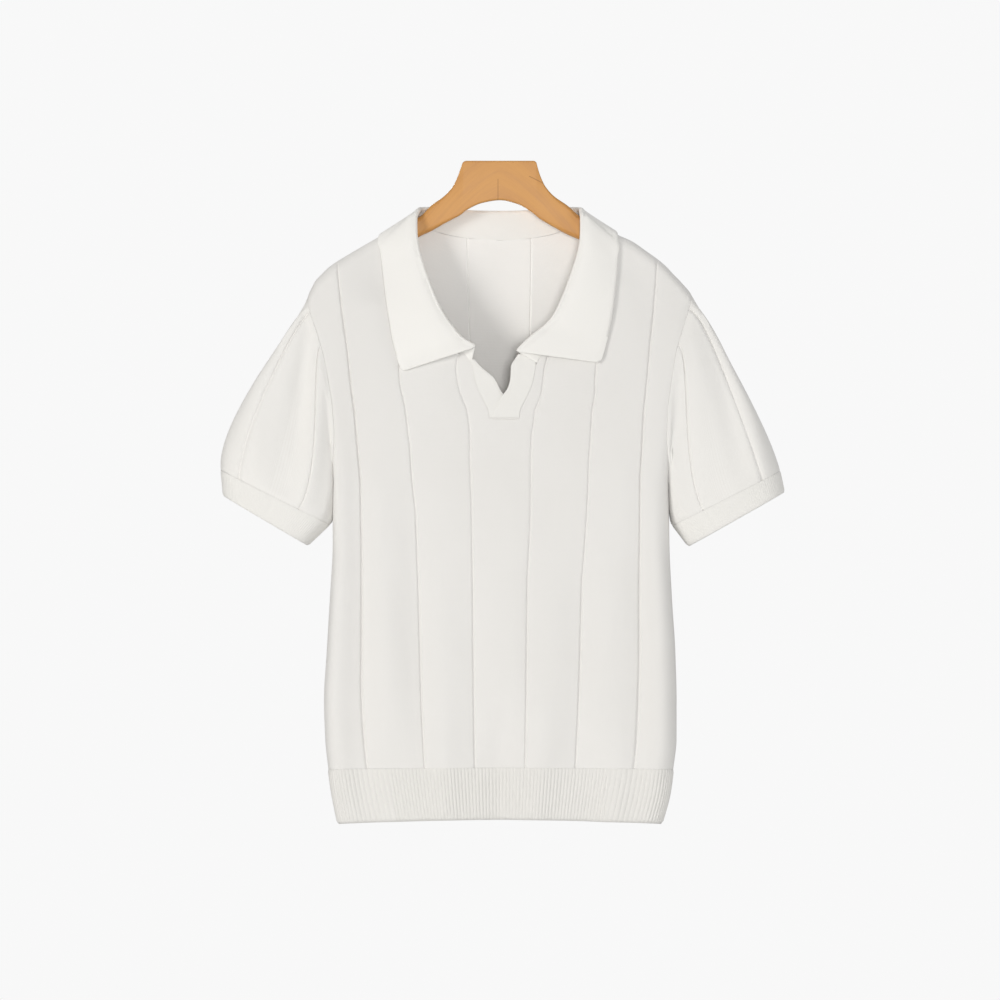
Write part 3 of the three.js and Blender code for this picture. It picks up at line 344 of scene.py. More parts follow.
# How far the outer and inner faces lie off the plain cloth, for grooves and seams
def surfaceDetail(s, t, face):
    grooves = sum(depth * np.exp(-((s - line) / body["grooveHalf"]) ** 2)
                  for line, depth in zip(body["grooveS"], body["grooveDepth"]))
    if face < 0:
        outside, inside = grooves, -body["frontBacking"] * grooves
    else:
        narrow = sum(np.exp(-((s - line) / body["insideHalf"]) ** 2) for line in body["grooveS"][1:-1])
        outside, inside = body["backShare"] * grooves, body["insideDepth"] * narrow
    show = ease(0, body["grooveTopFade"], t)
    seam = np.minimum(np.abs(outerS(t) - np.abs(s)), t)
    pinch = body["seamPinch"] * np.exp(-(seam / body["seamPinchHalf"]) ** 2)
    broad, fine = body["waveHeights"]
    soft = (broad * np.sin(s / 23 + 1.3 * face) * np.sin(t / 61 + s / 90 + face)
            + fine * np.sin(s / 11 - t / 83 + 2.1 * face) * np.sin(t / 37))
    fade = (np.minimum(1, t / body["waveTopFade"])
            * ease(0, body["waveSideFade"], body["sideSeamS"] - np.abs(s)))
    outer = -show * outside - pinch
    return outer + soft * fade, soft * fade + show * inside


# A closed wall: the cells, the same cells turned over on the inner points, and the rim.
# Cells name places of the UV. pointOf gives each place's point, where a seam has two places
def makeWall(name, outer, inner, cells, uv, smoothAngle=60, attributes=None, pointOf=None):
    pointOf = pointOf or list(range(len(uv)))
    count = len(outer)
    edges = [edge for ring in cells for edge in zip(ring, ring[1:] + ring[:1])]
    known = {(pointOf[a], pointOf[b]) for a, b in edges}
    rim = [(a, b) for a, b in edges if (pointOf[b], pointOf[a]) not in known]
    faces = [[pointOf[v] for v in ring] for ring in cells]
    faces += [[v + count for v in reversed(ring)] for ring in faces]
    faces += [[pointOf[b], pointOf[a], pointOf[a] + count, pointOf[b] + count] for a, b in rim]
    corners = cells + [ring[::-1] for ring in cells] + [[b, a, a, b] for a, b in rim]
    points = np.vstack([outer, inner])
    if not outwardFaces(points, faces):
        faces, corners = [ring[::-1] for ring in faces], [ring[::-1] for ring in corners]
    doubled = {key: np.concatenate([values.ravel(), 0 * values.ravel()])
               for key, values in (attributes or {}).items()}
    return makePiece(name, points, faces, uv[np.concatenate(corners)], smoothAngle, doubled)


# A wall from rows of outer and inner points. The UV has one column more if they close
def wallFromGrid(name, outer, inner, uv, smoothAngle=60, attributes=None):
    rowCount, columnCount = outer.shape[:2]
    wide = uv.shape[1]
    cells = [[r * wide + c, r * wide + c + 1, (r + 1) * wide + c + 1, (r + 1) * wide + c]
             for r in range(rowCount - 1) for c in range(wide - 1)]
    pointOf = [r * columnCount + c % columnCount for r in range(rowCount) for c in range(wide)]
    return makeWall(name, outer.reshape(-1, 3), inner.reshape(-1, 3), cells, uv.reshape(-1, 2),
                    smoothAngle, attributes, pointOf)


# A panel of cloth: rows of cells between the lines, cut off at the neck and the armholes
def makePanel(name, face, rows, neckS, openingEndT):
    lines = panelLines()
    known, places, cells = {}, [], []

    def corner(p):
        key = (round(p[0], 3), round(p[1], 3))
        if key not in known:
            known[key] = len(places)
            places.append(key)
        return known[key]

    outer = [float(outerS(t)) for t in rows]
    inner = [float(neckS(t)) for t in rows]
    for r in range(len(rows) - 1):
        high, low = rows[r], rows[r + 1]
        if high < openingEndT - 1e-6:
            strips = [((-outer[r], -inner[r]), (-outer[r + 1], -inner[r + 1])),
                      ((inner[r], outer[r]), (inner[r + 1], outer[r + 1]))]
        else:
            strips = [((-outer[r], outer[r]), (-outer[r + 1], outer[r + 1]))]
        for upper, lower in strips:
            leftMost, rightMost = max(upper[0], lower[0]), min(upper[1], lower[1])
            strip = [(upper[0], high), (upper[1], high), (lower[1], low), (lower[0], low)]
            for a, b in zip(lines, lines[1:]):
                if a >= leftMost and b <= rightMost:
                    cell = [(a, high), (b, high), (b, low), (a, low)]
                else:
                    cell = clipAt(clipAt(strip, a, 1), b, -1)
                ring = [corner(p) for p in cell]
                ring = [v for j, v in enumerate(ring) if v != ring[(j + 1) % len(ring)]]
                if len(ring) > 2:
                    cells.append(ring)
    s, t = np.array(places).T
    base, normal = bodyPoint(s, t, face), bodyNormal(s, t, face)
    raised, inset = surfaceDetail(s, t, face)
    outer, inner = base + normal * raised[:, None], base + normal * (inset - body["wall"])[:, None]
    return makeWall(name, outer, inner, cells, np.array(places))


# Normals of a grid of closed rings, pointing away from each ring's middle
def ringNormals(grid):
    across = np.roll(grid, -1, 1) - np.roll(grid, 1, 1)
    normals = unit(np.cross(across, np.gradient(grid, axis=0)))
    flip = np.sum(normals * (grid - grid.mean(1, keepdims=True)), -1) < 0
    return np.where(flip[..., None], -normals, normals)


# A curve through points, with its own points evenly spread over the given ones
def smoothLine(points, count):
    points = np.asarray(points, float)
    padded = np.vstack([2 * points[0] - points[1], points, 2 * points[-1] - points[-2]])
    places = np.linspace(0, len(points) - 1, count)
    i = np.minimum(places.astype(int), len(points) - 2)
    u = (places - i)[:, None]
    a, b, c, d = padded[i], padded[i + 1], padded[i + 2], padded[i + 3]
    return b + 0.5 * u * (c - a + u * (2 * a - 5 * b + 4 * c - d + u * (3 * (b - c) + d - a)))


# Distance of points from a line of points in the XZ plane, and the share along it
def lineDistance(points, line):
    flat = points[..., [0, 2]]
    best, share = np.full(flat.shape[:-1], 1e9), np.zeros(flat.shape[:-1])
    line = np.asarray(line, float)
    lengths = np.linalg.norm(np.diff(line, axis=0), axis=1)
    total, done = lengths.sum(), 0
    for a, b, length in zip(line, line[1:], lengths):
        u = np.clip(((flat - a) @ (b - a)) / length ** 2, 0, 1)
        gap = np.linalg.norm(flat - a - u[..., None] * (b - a), axis=-1)
        share = np.where(gap < best, (done + u * length) / total, share)
        best = np.minimum(best, gap)
        done += length
    return best, share


foldEnds = {"facing": (0.05, 0.5), "start": 0.12}


# Heights of the folds that follow a line of points, only where the cloth faces them
def creases(points, normals, folds):
    total = np.zeros(points.shape[:-1])
    for line, halfWidth, height, face in folds:
        distance, share = lineDistance(points, line)
        facing = ease(*foldEnds["facing"], normals[..., 1] * face)
        along = foldEnds["start"] + (1 - 2 * foldEnds["start"]) * share
        shape = np.exp(-(distance / halfWidth) ** 2) * np.sin(np.pi * along)
        total += height * shape * facing
    return total


# A node whose inputs are given as values, or as sockets to link from
def addNode(tree, kind, values=None, **settings):
    made = tree.nodes.new(kind)
    for key, value in settings.items():
        setattr(made, key, value)
    for key, value in (values or {}).items():
        if isinstance(value, bpy.types.NodeSocket):
            tree.links.new(value, made.inputs[key])
        else:
            made.inputs[key].default_value = value
    return made


def mathNode(tree, operation, *inputs, clamp=False):
    made = addNode(tree, "ShaderNodeMath", dict(enumerate(inputs)), operation=operation, use_clamp=clamp)
    return made.outputs[0]


# A node group with named inputs and outputs, and the nodes that carry them
def newTree(name, kind, inputs, outputs):
    tree = bpy.data.node_groups.new(name, kind)
    for label, socket, value in inputs:
        made = tree.interface.new_socket(label, in_out="INPUT", socket_type=socket)
        if value is not None:
            made.default_value = value
    for label, socket in outputs:
        tree.interface.new_socket(label, in_out="OUTPUT", socket_type=socket)
    return tree, tree.nodes.new("NodeGroupInput"), tree.nodes.new("NodeGroupOutput")


# Ends a geometry tree: everything made real, in the given finish
def endTree(tree, given, made, geometry):
    real = addNode(tree, "GeometryNodeRealizeInstances", {0: geometry})
    finish = addNode(tree, "GeometryNodeSetMaterial", {
        "Geometry": real.outputs[0], "Material": given.outputs["Finish"]})
    tree.links.new(finish.outputs[0], made.inputs[0])
    return tree


# Raises rounded ribs out of a band of cloth, across the attribute ribAcross
def makeRibTree():
    tree, given, made = newTree("raisedRibs", "GeometryNodeTree", [
        ("Geometry", "NodeSocketGeometry", None),
        ("Rib Pitch", "NodeSocketFloat", 0.0037),
        ("Rib Height", "NodeSocketFloat", 0.0007),
        ("Roundness", "NodeSocketFloat", 0.6),
        ("Finish", "NodeSocketMaterial", None),
    ], [("Geometry", "NodeSocketGeometry")])
    across, show = (
        addNode(tree, "GeometryNodeInputNamedAttribute", {"Name": key}, data_type="FLOAT").outputs[0]
        for key in ("ribAcross", "ribShow"))
    phase = mathNode(tree, "DIVIDE", across, given.outputs["Rib Pitch"])
    wave = mathNode(tree, "ABSOLUTE", mathNode(tree, "SINE", mathNode(tree, "MULTIPLY", phase, math.pi)))
    rounded = mathNode(tree, "POWER", wave, given.outputs["Roundness"])
    height = mathNode(tree, "MULTIPLY", rounded, given.outputs["Rib Height"])
    normal = addNode(tree, "GeometryNodeInputNormal")
    offset = addNode(tree, "ShaderNodeVectorMath", {
        0: normal.outputs[0], "Scale": mathNode(tree, "MULTIPLY", height, show)}, operation="SCALE")
    move = addNode(tree, "GeometryNodeSetPosition", {
        "Geometry": given.outputs["Geometry"], "Offset": offset.outputs[0]})
    return endTree(tree, given, made, move.outputs[0])


# Lays short yarn stitches end to end along the edges of a line
def makeStitchTree():
    tree, given, made = newTree("yarnStitches", "GeometryNodeTree", [
        ("Geometry", "NodeSocketGeometry", None),
        ("Stitch Length", "NodeSocketFloat", 0.0024),
        ("Yarn Thickness", "NodeSocketFloat", 0.0007),
        ("Unevenness", "NodeSocketFloat", 0.12),
        ("Seed", "NodeSocketInt", 3),
        ("Finish", "NodeSocketMaterial", None),
    ], [("Geometry", "NodeSocketGeometry")])
    stitch, uneven = given.outputs["Stitch Length"], given.outputs["Unevenness"]
    curve = addNode(tree, "GeometryNodeMeshToCurve", {0: given.outputs["Geometry"]})
    spread = addNode(tree, "GeometryNodeResampleCurve", {
        "Curve": curve.outputs[0], "Length": stitch}, mode="LENGTH")
    tangent = addNode(tree, "GeometryNodeInputTangent")
    align = addNode(tree, "FunctionNodeAlignRotationToVector", {"Vector": tangent.outputs[0]}, axis="X")
    bead = addNode(tree, "GeometryNodeMeshIcoSphere", {"Radius": 0.5, "Subdivisions": 1})
    factor = addNode(tree, "FunctionNodeRandomValue", {
        2: mathNode(tree, "SUBTRACT", 1.0, uneven), 3: mathNode(tree, "ADD", 1.0, uneven),
        "Seed": given.outputs["Seed"]}, data_type="FLOAT")
    thick = mathNode(tree, "MULTIPLY", given.outputs["Yarn Thickness"], factor.outputs[1])
    size = addNode(tree, "ShaderNodeCombineXYZ", {
        0: mathNode(tree, "MULTIPLY", stitch, 0.92), 1: thick, 2: thick})
    place = addNode(tree, "GeometryNodeInstanceOnPoints", {
        "Points": spread.outputs[0], "Instance": bead.outputs[0],
        "Rotation": align.outputs[0], "Scale": size.outputs[0]})
    return endTree(tree, given, made, place.outputs[0])


# Runs a tree on a piece and keeps the result as a plain mesh under the same name
def applyTree(piece, tree, values):
    modifier = piece.modifiers.new(tree.name, "NODES")
    modifier.node_group = tree
    for item in tree.interface.items_tree:
        if item.in_out == "INPUT" and item.name in values:
            modifier[item.identifier] = values[item.name]
    shown = piece.evaluated_get(bpy.context.evaluated_depsgraph_get())
    mesh = bpy.data.meshes.new_from_object(shown)
    piece.modifiers.clear()
    piece.data = mesh
    return piece


# Rows of knitted loops: two slanting legs to each wale, in metres of cloth. The height bumps the surface,
# and the valley mask paints shade into the hollows between loops.
def makeKnitGroup():
    tree, given, made = newTree("knitLoops", "ShaderNodeTree", [
        ("Cloth Place", "NodeSocketVector", None),
        ("Wale Width", "NodeSocketFloat", 0.0016),
        ("Course Height", "NodeSocketFloat", 0.0012),
        ("Loop Slant", "NodeSocketFloat", 1.1),
    ], [("Height", "NodeSocketFloat"), ("Valley Shade", "NodeSocketFloat")])
    split = addNode(tree, "ShaderNodeSeparateXYZ", {0: given.outputs["Cloth Place"]})
    wales = mathNode(tree, "DIVIDE", split.outputs[0], given.outputs["Wale Width"])
    courses = mathNode(tree, "DIVIDE", split.outputs[1], given.outputs["Course Height"])
    inWale = mathNode(tree, "SUBTRACT", mathNode(tree, "FRACT", wales), 0.5)
    slant = mathNode(tree, "MULTIPLY", mathNode(tree, "ABSOLUTE", inWale), given.outputs["Loop Slant"])
    turn = mathNode(tree, "MULTIPLY", mathNode(tree, "SUBTRACT", courses, slant), 2 * math.pi)
    loop = mathNode(tree, "MULTIPLY_ADD", mathNode(tree, "COSINE", turn), 0.5, 0.5)
    leg = mathNode(tree, "SINE", mathNode(tree, "MULTIPLY", inWale, 2 * math.pi))
    leg = mathNode(tree, "POWER", mathNode(tree, "ABSOLUTE", leg), 0.5)
    height = mathNode(tree, "MULTIPLY", leg, mathNode(tree, "MULTIPLY_ADD", loop, 0.55, 0.45))
    tree.links.new(height, made.inputs["Height"])
    tree.links.new(mathNode(tree, "SUBTRACT", 1.0, height, clamp=True), made.inputs["Valley Shade"])
    return tree


# Soft unevenness of the yarn: a mask of cloudy tone and a fine fuzz
def makeYarnGroup():
    tree, given, made = newTree("yarnUnevenness", "ShaderNodeTree", [
        ("Place", "NodeSocketVector", None),
        ("Cloud Scale", "NodeSocketFloat", 9.0),
        ("Fuzz Scale", "NodeSocketFloat", 900.0),
    ], [("Cloud", "NodeSocketFloat"), ("Fuzz", "NodeSocketFloat")])
    for label, output, detail in (("Cloud Scale", "Cloud", 3), ("Fuzz Scale", "Fuzz", 2)):
        noise = addNode(tree, "ShaderNodeTexNoise", {
            "Vector": given.outputs["Place"], "Scale": given.outputs[label],
            "Detail": detail, "Roughness": 0.55})
        tree.links.new(noise.outputs["Fac"], made.inputs[output])
    return tree


# A material with the shader's constants set
def newMaterial(name, constants):
    material = bpy.data.materials.new(name)
    material.use_nodes = True
    shader = material.node_tree.nodes["Principled BSDF"]
    for key, value in constants.items():
        shader.inputs[key].default_value = value
    return material, material.node_tree, shader


def makeKnit(name, look):
    material, tree, shader = newMaterial(name, {
        "Roughness": look["roughness"], "Specular IOR Level": 0.2,
        "Sheen Weight": look["sheen"], "Sheen Roughness": 0.5})
    loops = addNode(tree, "ShaderNodeGroup", {
        "Cloth Place": addNode(tree, "ShaderNodeUVMap", uv_map="UVMap").outputs[0],
        "Wale Width": look["wale"], "Course Height": look["course"]}, node_tree=knitGroup)
    yarn = addNode(tree, "ShaderNodeGroup", {
        "Place": addNode(tree, "ShaderNodeTexCoord").outputs["Object"],
        "Cloud Scale": look["cloudScale"]}, node_tree=yarnGroup)
    tone = addNode(tree, "ShaderNodeMix", {
        "A": (*look["shade"], 1), "B": (*look["color"], 1),
        "Factor": mathNode(tree, "MULTIPLY_ADD", yarn.outputs["Cloud"], 1.6, -0.1)}, data_type="RGBA")
    # Painted shade: the valleys between the knit's loops are darkened in the colour
    valleyShaded = addNode(tree, "ShaderNodeMix", {
        "A": tone.outputs["Result"], "B": (*look["valleyShadeColor"], 1),
        "Factor": mathNode(tree, "MULTIPLY", loops.outputs["Valley Shade"], look["valleyShadeShare"])},
        data_type="RGBA", blend_type="MULTIPLY")
    tree.links.new(valleyShaded.outputs["Result"], shader.inputs["Base Color"])
    bump = addNode(tree, "ShaderNodeBump", {
        "Strength": look["bump"], "Distance": look["bumpDepth"],
        "Height": mathNode(tree, "MULTIPLY_ADD", yarn.outputs["Fuzz"], 0.35, loops.outputs["Height"])})
    tree.links.new(bump.outputs[0], shader.inputs["Normal"])
    return material


knitLook = {
    "color": (0.787, 0.775, 0.753), "shade": (0.76, 0.746, 0.721), "valleyShadeColor": (0.86, 0.84, 0.8),
    "valleyShadeShare": 0.35, "roughness": 0.92, "sheen": 0.3, "wale": 0.0017, "course": 0.00125,
    "cloudScale": 7.0, "bump": 0.35, "bumpDepth": 0.0004,
}
ribLook = dict(knitLook, wale=0.0015, course=0.0011, bump=0.4, color=(0.83, 0.819, 0.79),
               shade=(0.802, 0.79, 0.756))
# Painted shade: a darker copy of the rib knit for the hem
hemShadedLook = dict(ribLook, color=(0.775, 0.763, 0.735), shade=(0.75, 0.737, 0.705))
# Painted light: a paler copy of the knit for the shaded inner faces
insideLitLook = dict(knitLook, color=(0.9, 0.885, 0.86), shade=(0.875, 0.858, 0.83))
# Painted light: a paler copy of the knit for the sleeves
sleeveLitLook = dict(knitLook, color=(0.825, 0.813, 0.788), shade=(0.798, 0.784, 0.755))
# Painted light: a paler copy of the rib knit for the collar's lit leaves
collarLitLook = dict(ribLook, color=(0.885, 0.873, 0.842), shade=(0.863, 0.849, 0.816))
knitGroup, yarnGroup = makeKnitGroup(), makeYarnGroup()
knitFinish = makeKnit("fineKnit", knitLook)
ribFinish = makeKnit("ribKnit", ribLook)
collarLitFinish = makeKnit("collarLitKnit", collarLitLook)
hemShadedFinish = makeKnit("hemShadedKnit", hemShadedLook)
insideLitFinish = makeKnit("insideLitKnit", insideLitLook)
sleeveLitFinish = makeKnit("sleeveLitKnit", sleeveLitLook)
ribTree, stitchTree = makeRibTree(), makeStitchTree()
print("finishes made")


# Gives a finished piece its material, slot and body, and hides the solid that it stands for
def finishPiece(piece, node=None, material=None):
    if material is not None:
        piece.data.materials.clear()
        piece.data.materials.append(material)
    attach(piece, "root")
    if node:
        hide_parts(node)
    return piece


neckEndT = backNeckLine["t"][-1]
slotRows = np.linspace(slotTopT, slotBottomT, panelGrid["slotRows"]).tolist()
backNeckRows = np.linspace(panelGrid["backNeckT"], neckEndT, panelGrid["backNeckRows"]).tolist()
frontPanel = makePanel("front_knit", -1, panelRows(slotRows), frontNeckS, slotBottomT)
backPanel = makePanel("back_knit", 1, panelRows(backNeckRows), backNeckS, neckEndT)
finishPiece(frontPanel, "front", knitFinish)
finishPiece(backPanel, "back", knitFinish)
# The cloth's inner face, seen through the neck, gets a paler copy of the knit: painted light on the shaded
# inside
for panel, face in ((frontPanel, -1), (backPanel, 1)):
    panel.data.materials.append(insideLitFinish)
    normals = np.empty(len(panel.data.polygons) * 3)
    panel.data.polygons.foreach_get("normal", normals)
    panel.data.polygons.foreach_set("material_index", (normals[1::3] * face < 0).astype(np.int32))
print("front and back made", len(frontPanel.data.polygons), len(backPanel.data.polygons))

hemRib = {
    "wall": 2.2, "ribs": 100, "pointsPerRib": 8, "rows": 16, "ribHeight": 0.0008, "ribRoundness": 0.75,
    "rollWidth": 3.5,
}
# What all ribbed bands share: the tuck at the seam, the roll and where the ribs fade out
ribBand = {"tuck": 0.15, "tuckHalf": 1.6, "roll": 0.9, "showWidth": 2.5}


# A ribbed band from its grid of points. down and height are measured from its seam
def makeBand(name, band, pitch, grid, normals, down, height, uv, across, finish):
    toEdge = height - down
    roll = ribBand["roll"] * (ease(0, band["rollWidth"], toEdge) - 1)
    tuck = ribBand["tuck"] * np.exp(-(down / ribBand["tuckHalf"]) ** 2)
    outer = grid + normals * (roll - tuck)[..., None]
    inner = grid - normals * (band["wall"] + roll)[..., None]
    show = ease(0, ribBand["showWidth"], down) * ease(0, ribBand["showWidth"], toEdge)
    piece = wallFromGrid(name, outer, inner, uv, 80, {"ribAcross": across * metre, "ribShow": show})
    return applyTree(piece, ribTree, {
        "Rib Pitch": pitch * metre, "Rib Height": band["ribHeight"],
        "Roundness": band["ribRoundness"], "Finish": finish})


for node, face in (("hem_rib_front", -1), ("hem_rib_back", 1)):
    s = np.linspace(-body["sideSeamS"], body["sideSeamS"], hemRib["ribs"] * hemRib["pointsPerRib"] + 1)
    t = np.linspace(body["hemTopT"] + body["seamGap"], body["hemBottomT"], hemRib["rows"])
    gridS, gridT = np.meshgrid(s, t)
    piece = makeBand(
        node + "_knit", hemRib, 2 * body["sideSeamS"] / hemRib["ribs"], bodyPoint(gridS, gridT, face),
        bodyNormal(gridS, gridT, face), gridT - t[0], t[-1] - t[0], np.stack([gridS, gridT], -1),
        gridS, hemShadedFinish)
    finishPiece(piece, node)
print("hem made")

sleeve = {
    "wall": 1.8, "halfDepth": 43, "topPull": {-1: 72, 1: 112}, "endPull": 0.8, "pullPower": 1.5,
    "pitPull": (29, 14), "grooveT": [30, 86], "grooveHalf": 1.3, "grooveDepth": [1.9, 1.2],
    "grooveFade": 8, "grooveLines": [-2.2, -1.2, -0.6, 0, 0.6, 1.2, 2.2], "lineGap": 1.4,
    "columnStep": 3.6, "rows": 58, "firstSteps": [0, 0.008, 0.02], "lastSteps": [0.978, 0.99, 1],
    "bodyBlend": 0.16, "cuffBlend": 0.9, "foldFade": (25, 14), "waveHeight": 0.6,
}
sleeveTurn = {
    "t": [0, 14, 30, 56, 86, 136, 198, 240, 260],
    "angle": [0, 26, 57, 82, 108, 130, 151, 170, 180],
}
cuff = {"wall": 2.2, "taper": 0.03, "roundness": 0.7, "fullness": 0.62, "columns": 640, "rows": 14,
        "ribPitch": 2.6, "ribHeight": 0.00028, "ribRoundness": 0.8, "rollWidth": 3}
cuffLines = {
    -1: {"top": ((-307, -340), (-187, -400)), "hem": ((-304.5, -368), (-211, -423))},
    1: {"top": ((308, -341), (189.5, -401)), "hem": ((313, -364), (207, -424))},
}
# Folds of the sleeves: a line in the XZ plane, half width, height, and the face it lies on
sleeveCreases = {
    -1: [
        ([(-200, -150), (-211, -192), (-219, -264), (-228, -310), (-237, -352)], 14, -8.0, -1),
        ([(-258, -228), (-268, -280), (-272, -330), (-276, -352)], 14, 4.0, -1),
        ([(-199, -180), (-201, -250), (-205, -330), (-212, -380)], 12, 4.5, -1),
        ([(-230, -190), (-245, -270), (-252, -340)], 13, -4, 1),
        ([(-205, -220), (-214, -300), (-222, -370)], 12, 3.5, 1),
    ],
    1: [
        ([(232, -190), (248, -262), (261, -330), (268, -352)], 13, -3.6, -1),
        ([(206, -170), (212, -240), (218, -320), (224, -372)], 12, 2.4, -1),
        ([(262, -235), (278, -290), (288, -345)], 12, 2.6, -1),
        ([(228, -190), (243, -270), (250, -340)], 13, -4, 1),
        ([(204, -220), (213, -300), (221, -370)], 12, 3.5, 1),
    ],
}


# Points round the armhole, with the cloth's normal and the way off the body
def armholePlaces(side):
    count = int(body["pitT"] / sleeve["columnStep"])
    t = np.linspace(0, body["pitT"], count + 1)
    near = [g + o for g in sleeve["grooveT"] for o in sleeve["grooveLines"]]
    t = np.array(sorted([v for v in t if all(abs(v - n) > sleeve["lineGap"] for n in near)] + near))
    allT = np.concatenate([t, t[1:-1][::-1]])
    face = np.concatenate([np.full(len(t), -1), np.full(len(t) - 2, 1)])
    edge = outerS(allT) * side
    front, back = bodyPoint(edge, allT, -1), bodyPoint(edge, allT, 1)
    spot = np.where((face < 0)[:, None], front, back)
    normal = np.where((face < 0)[:, None], bodyNormal(edge, allT, -1), bodyNormal(edge, allT, 1))
    spot[(allT <= 0) | (allT >= body["pitT"]), 1] = 0
    along = np.roll(spot, -1, 0) - np.roll(spot, 1, 0)
    away = unit(np.cross(normal, along)) * side
    return allT, face, spot, normal, away


# A place on the cuff at an angle round it, along being the share of the way down
def cuffPoint(angle, side, along):
    turn = np.radians(angle)
    across = np.sign(np.cos(turn)) * np.abs(np.cos(turn)) ** cuff["roundness"]
    points = []
    for outer, inner in (cuffLines[side]["top"], cuffLines[side]["hem"]):
        x = (outer[0] + inner[0]) / 2 + across * (outer[0] - inner[0]) / 2
        z = (outer[1] + inner[1]) / 2 + across * (outer[1] - inner[1]) / 2
        points.append(np.stack([x, 0 * x, z], -1))
    along = np.asarray(along)[..., None]
    point = points[0] * (1 - along) + points[1] * along
    depth = np.sign(np.sin(turn)) * np.abs(np.sin(turn)) ** cuff["fullness"]
    point[..., 1] = -sleeve["halfDepth"] * depth * (1 - cuff["taper"] * along[..., 0])
    return point


def cuffUpward(side):
    outer, inner = cuffLines[side]["top"]
    up = unit(np.array([outer[1] - inner[1], 0, inner[0] - outer[0]], float))
    return -up if up[2] < 0 else up


def makeSleeve(side, name):
    allT, face, spot, normal, away = armholePlaces(side)
    angle = -face * tableAt(sleeveTurn["t"], sleeveTurn["angle"], allT)
    end = cuffPoint(angle, side, np.zeros(len(allT)))
    under = np.abs(angle)[:, None] / 180
    out, down = sleeve["pitPull"]
    leave = (away * sleeve["topPull"][side] * (1 - under) ** sleeve["pullPower"]
             + np.array([side * out, 0, -down]) * under)
    arrive = cuffPoint(angle, side, np.ones(len(allT))) - end
    arrive[:, 1] = 0
    reach = np.linalg.norm(spot - end, axis=1)[:, None]
    arrive = unit(arrive) * sleeve["endPull"] * reach
    steps = np.linspace(0, 1, sleeve["rows"])
    steps = np.concatenate([sleeve["firstSteps"], steps[2:-2], sleeve["lastSteps"]])[:, None, None]
    a = 2 * steps ** 3 - 3 * steps ** 2 + 1
    grid = (spot * a + leave * (steps ** 3 - 2 * steps ** 2 + steps) + end * (1 - a)
            + arrive * (steps ** 3 - steps ** 2))
    normals = ringNormals(grid)
    normals[0] = normal
    blend = ease(0, sleeve["bodyBlend"], steps)
    normals = unit(normals * blend + normal * (1 - blend))
    up = cuffUpward(side)
    flat = unit(normals[-1] - (normals[-1] @ up)[:, None] * up)
    blend = ease(sleeve["cuffBlend"], 1, steps)
    normals = unit(normals * (1 - blend) + flat * blend)
    grooves = sum(depth * np.exp(-((allT - g) / sleeve["grooveHalf"]) ** 2)
                  for g, depth in zip(sleeve["grooveT"], sleeve["grooveDepth"]))
    length = steps[..., 0] * reach[:, 0]
    toEnd = (1 - steps[..., 0]) * reach[:, 0]
    pinch = body["seamPinch"] * (np.exp(-(length / body["seamPinchHalf"]) ** 2)
                                 + np.exp(-(toEnd / body["seamPinchHalf"]) ** 2))
    fade = ease(0, sleeve["foldFade"][0], length) * ease(0, sleeve["foldFade"][1], toEnd)
    shape = creases(grid, normals, sleeveCreases[side]) * fade
    wave = np.sin(allT / 19 + side) * np.sin(steps[..., 0] * 6 + allT / 47)
    soft = sleeve["waveHeight"] * wave * fade
    raised = shape + soft - pinch - grooves * ease(0, sleeve["grooveFade"], length)
    grid[0] += away * body["seamGap"]
    grid[-1] += up * body["seamGap"]
    outer = grid + normals * raised[..., None]
    inner = grid + normals * (shape + soft - sleeve["wall"])[..., None]
    arc = np.concatenate([[0], np.cumsum(np.linalg.norm(np.roll(spot, -1, 0) - spot, axis=1))])
    tall = np.concatenate([length, length[:, :1]], 1)
    uv = np.stack([np.broadcast_to(arc, tall.shape), tall], -1)
    return wallFromGrid(name, outer, inner, uv)


def makeCuff(side, name):
    angle = np.arange(cuff["columns"]) * 360 / cuff["columns"]
    steps = np.linspace(0, 1, cuff["rows"])
    gridAngle, gridStep = np.meshgrid(angle, steps)
    grid = cuffPoint(gridAngle, side, gridStep)
    up = cuffUpward(side)
    normals = ringNormals(grid)
    normals = unit(normals - (normals @ up)[..., None] * up)
    height = np.linalg.norm(grid[-1] - grid[0], axis=1).mean()
    down = gridStep * height
    ring = np.linalg.norm(np.roll(grid[0], -1, 0) - grid[0], axis=1)
    arc = np.concatenate([[0], np.cumsum(ring)])
    count = round(arc[-1] / cuff["ribPitch"])
    across = arc * (count * cuff["ribPitch"] / arc[-1])
    uv = np.stack(np.meshgrid(across, steps * height), -1)
    return makeBand(name, cuff, cuff["ribPitch"], grid, normals, down, height, uv,
                    np.broadcast_to(across[:-1], down.shape), ribFinish)


for side, word in ((-1, "left"), (1, "right")):
    finishPiece(makeSleeve(side, "sleeve_" + word + "_knit"), "sleeve_" + word, sleeveLitFinish)
    finishPiece(makeCuff(side, "cuff_" + word + "_knit"), "cuff_" + word)
print("sleeves and cuffs made")

collar = {
    "wall": 2.4, "neckGap": 0.25, "backLean": 1.4, "foldRadius": 1.7, "foldLift": 4.5, "leafLift": 3.0,
    "shoulderLift": 1.6, "frontBulge": 3, "wave": 0.35, "waveLength": 6.5,
    "stationsPerRow": 7, "standPoints": 9, "foldPoints": 9, "leafPoints": 22,
    "foldEven": 3, "edgeEven": 4, "leafEven": 5, "evenX": (60, 75), "evenZ": (-78, -62), "evenFrom": 0.3,
    "thinDown": (-1.2, 2.2), "thinAlong": (-0.6, 1.6), "frontTurnT": 15,
}
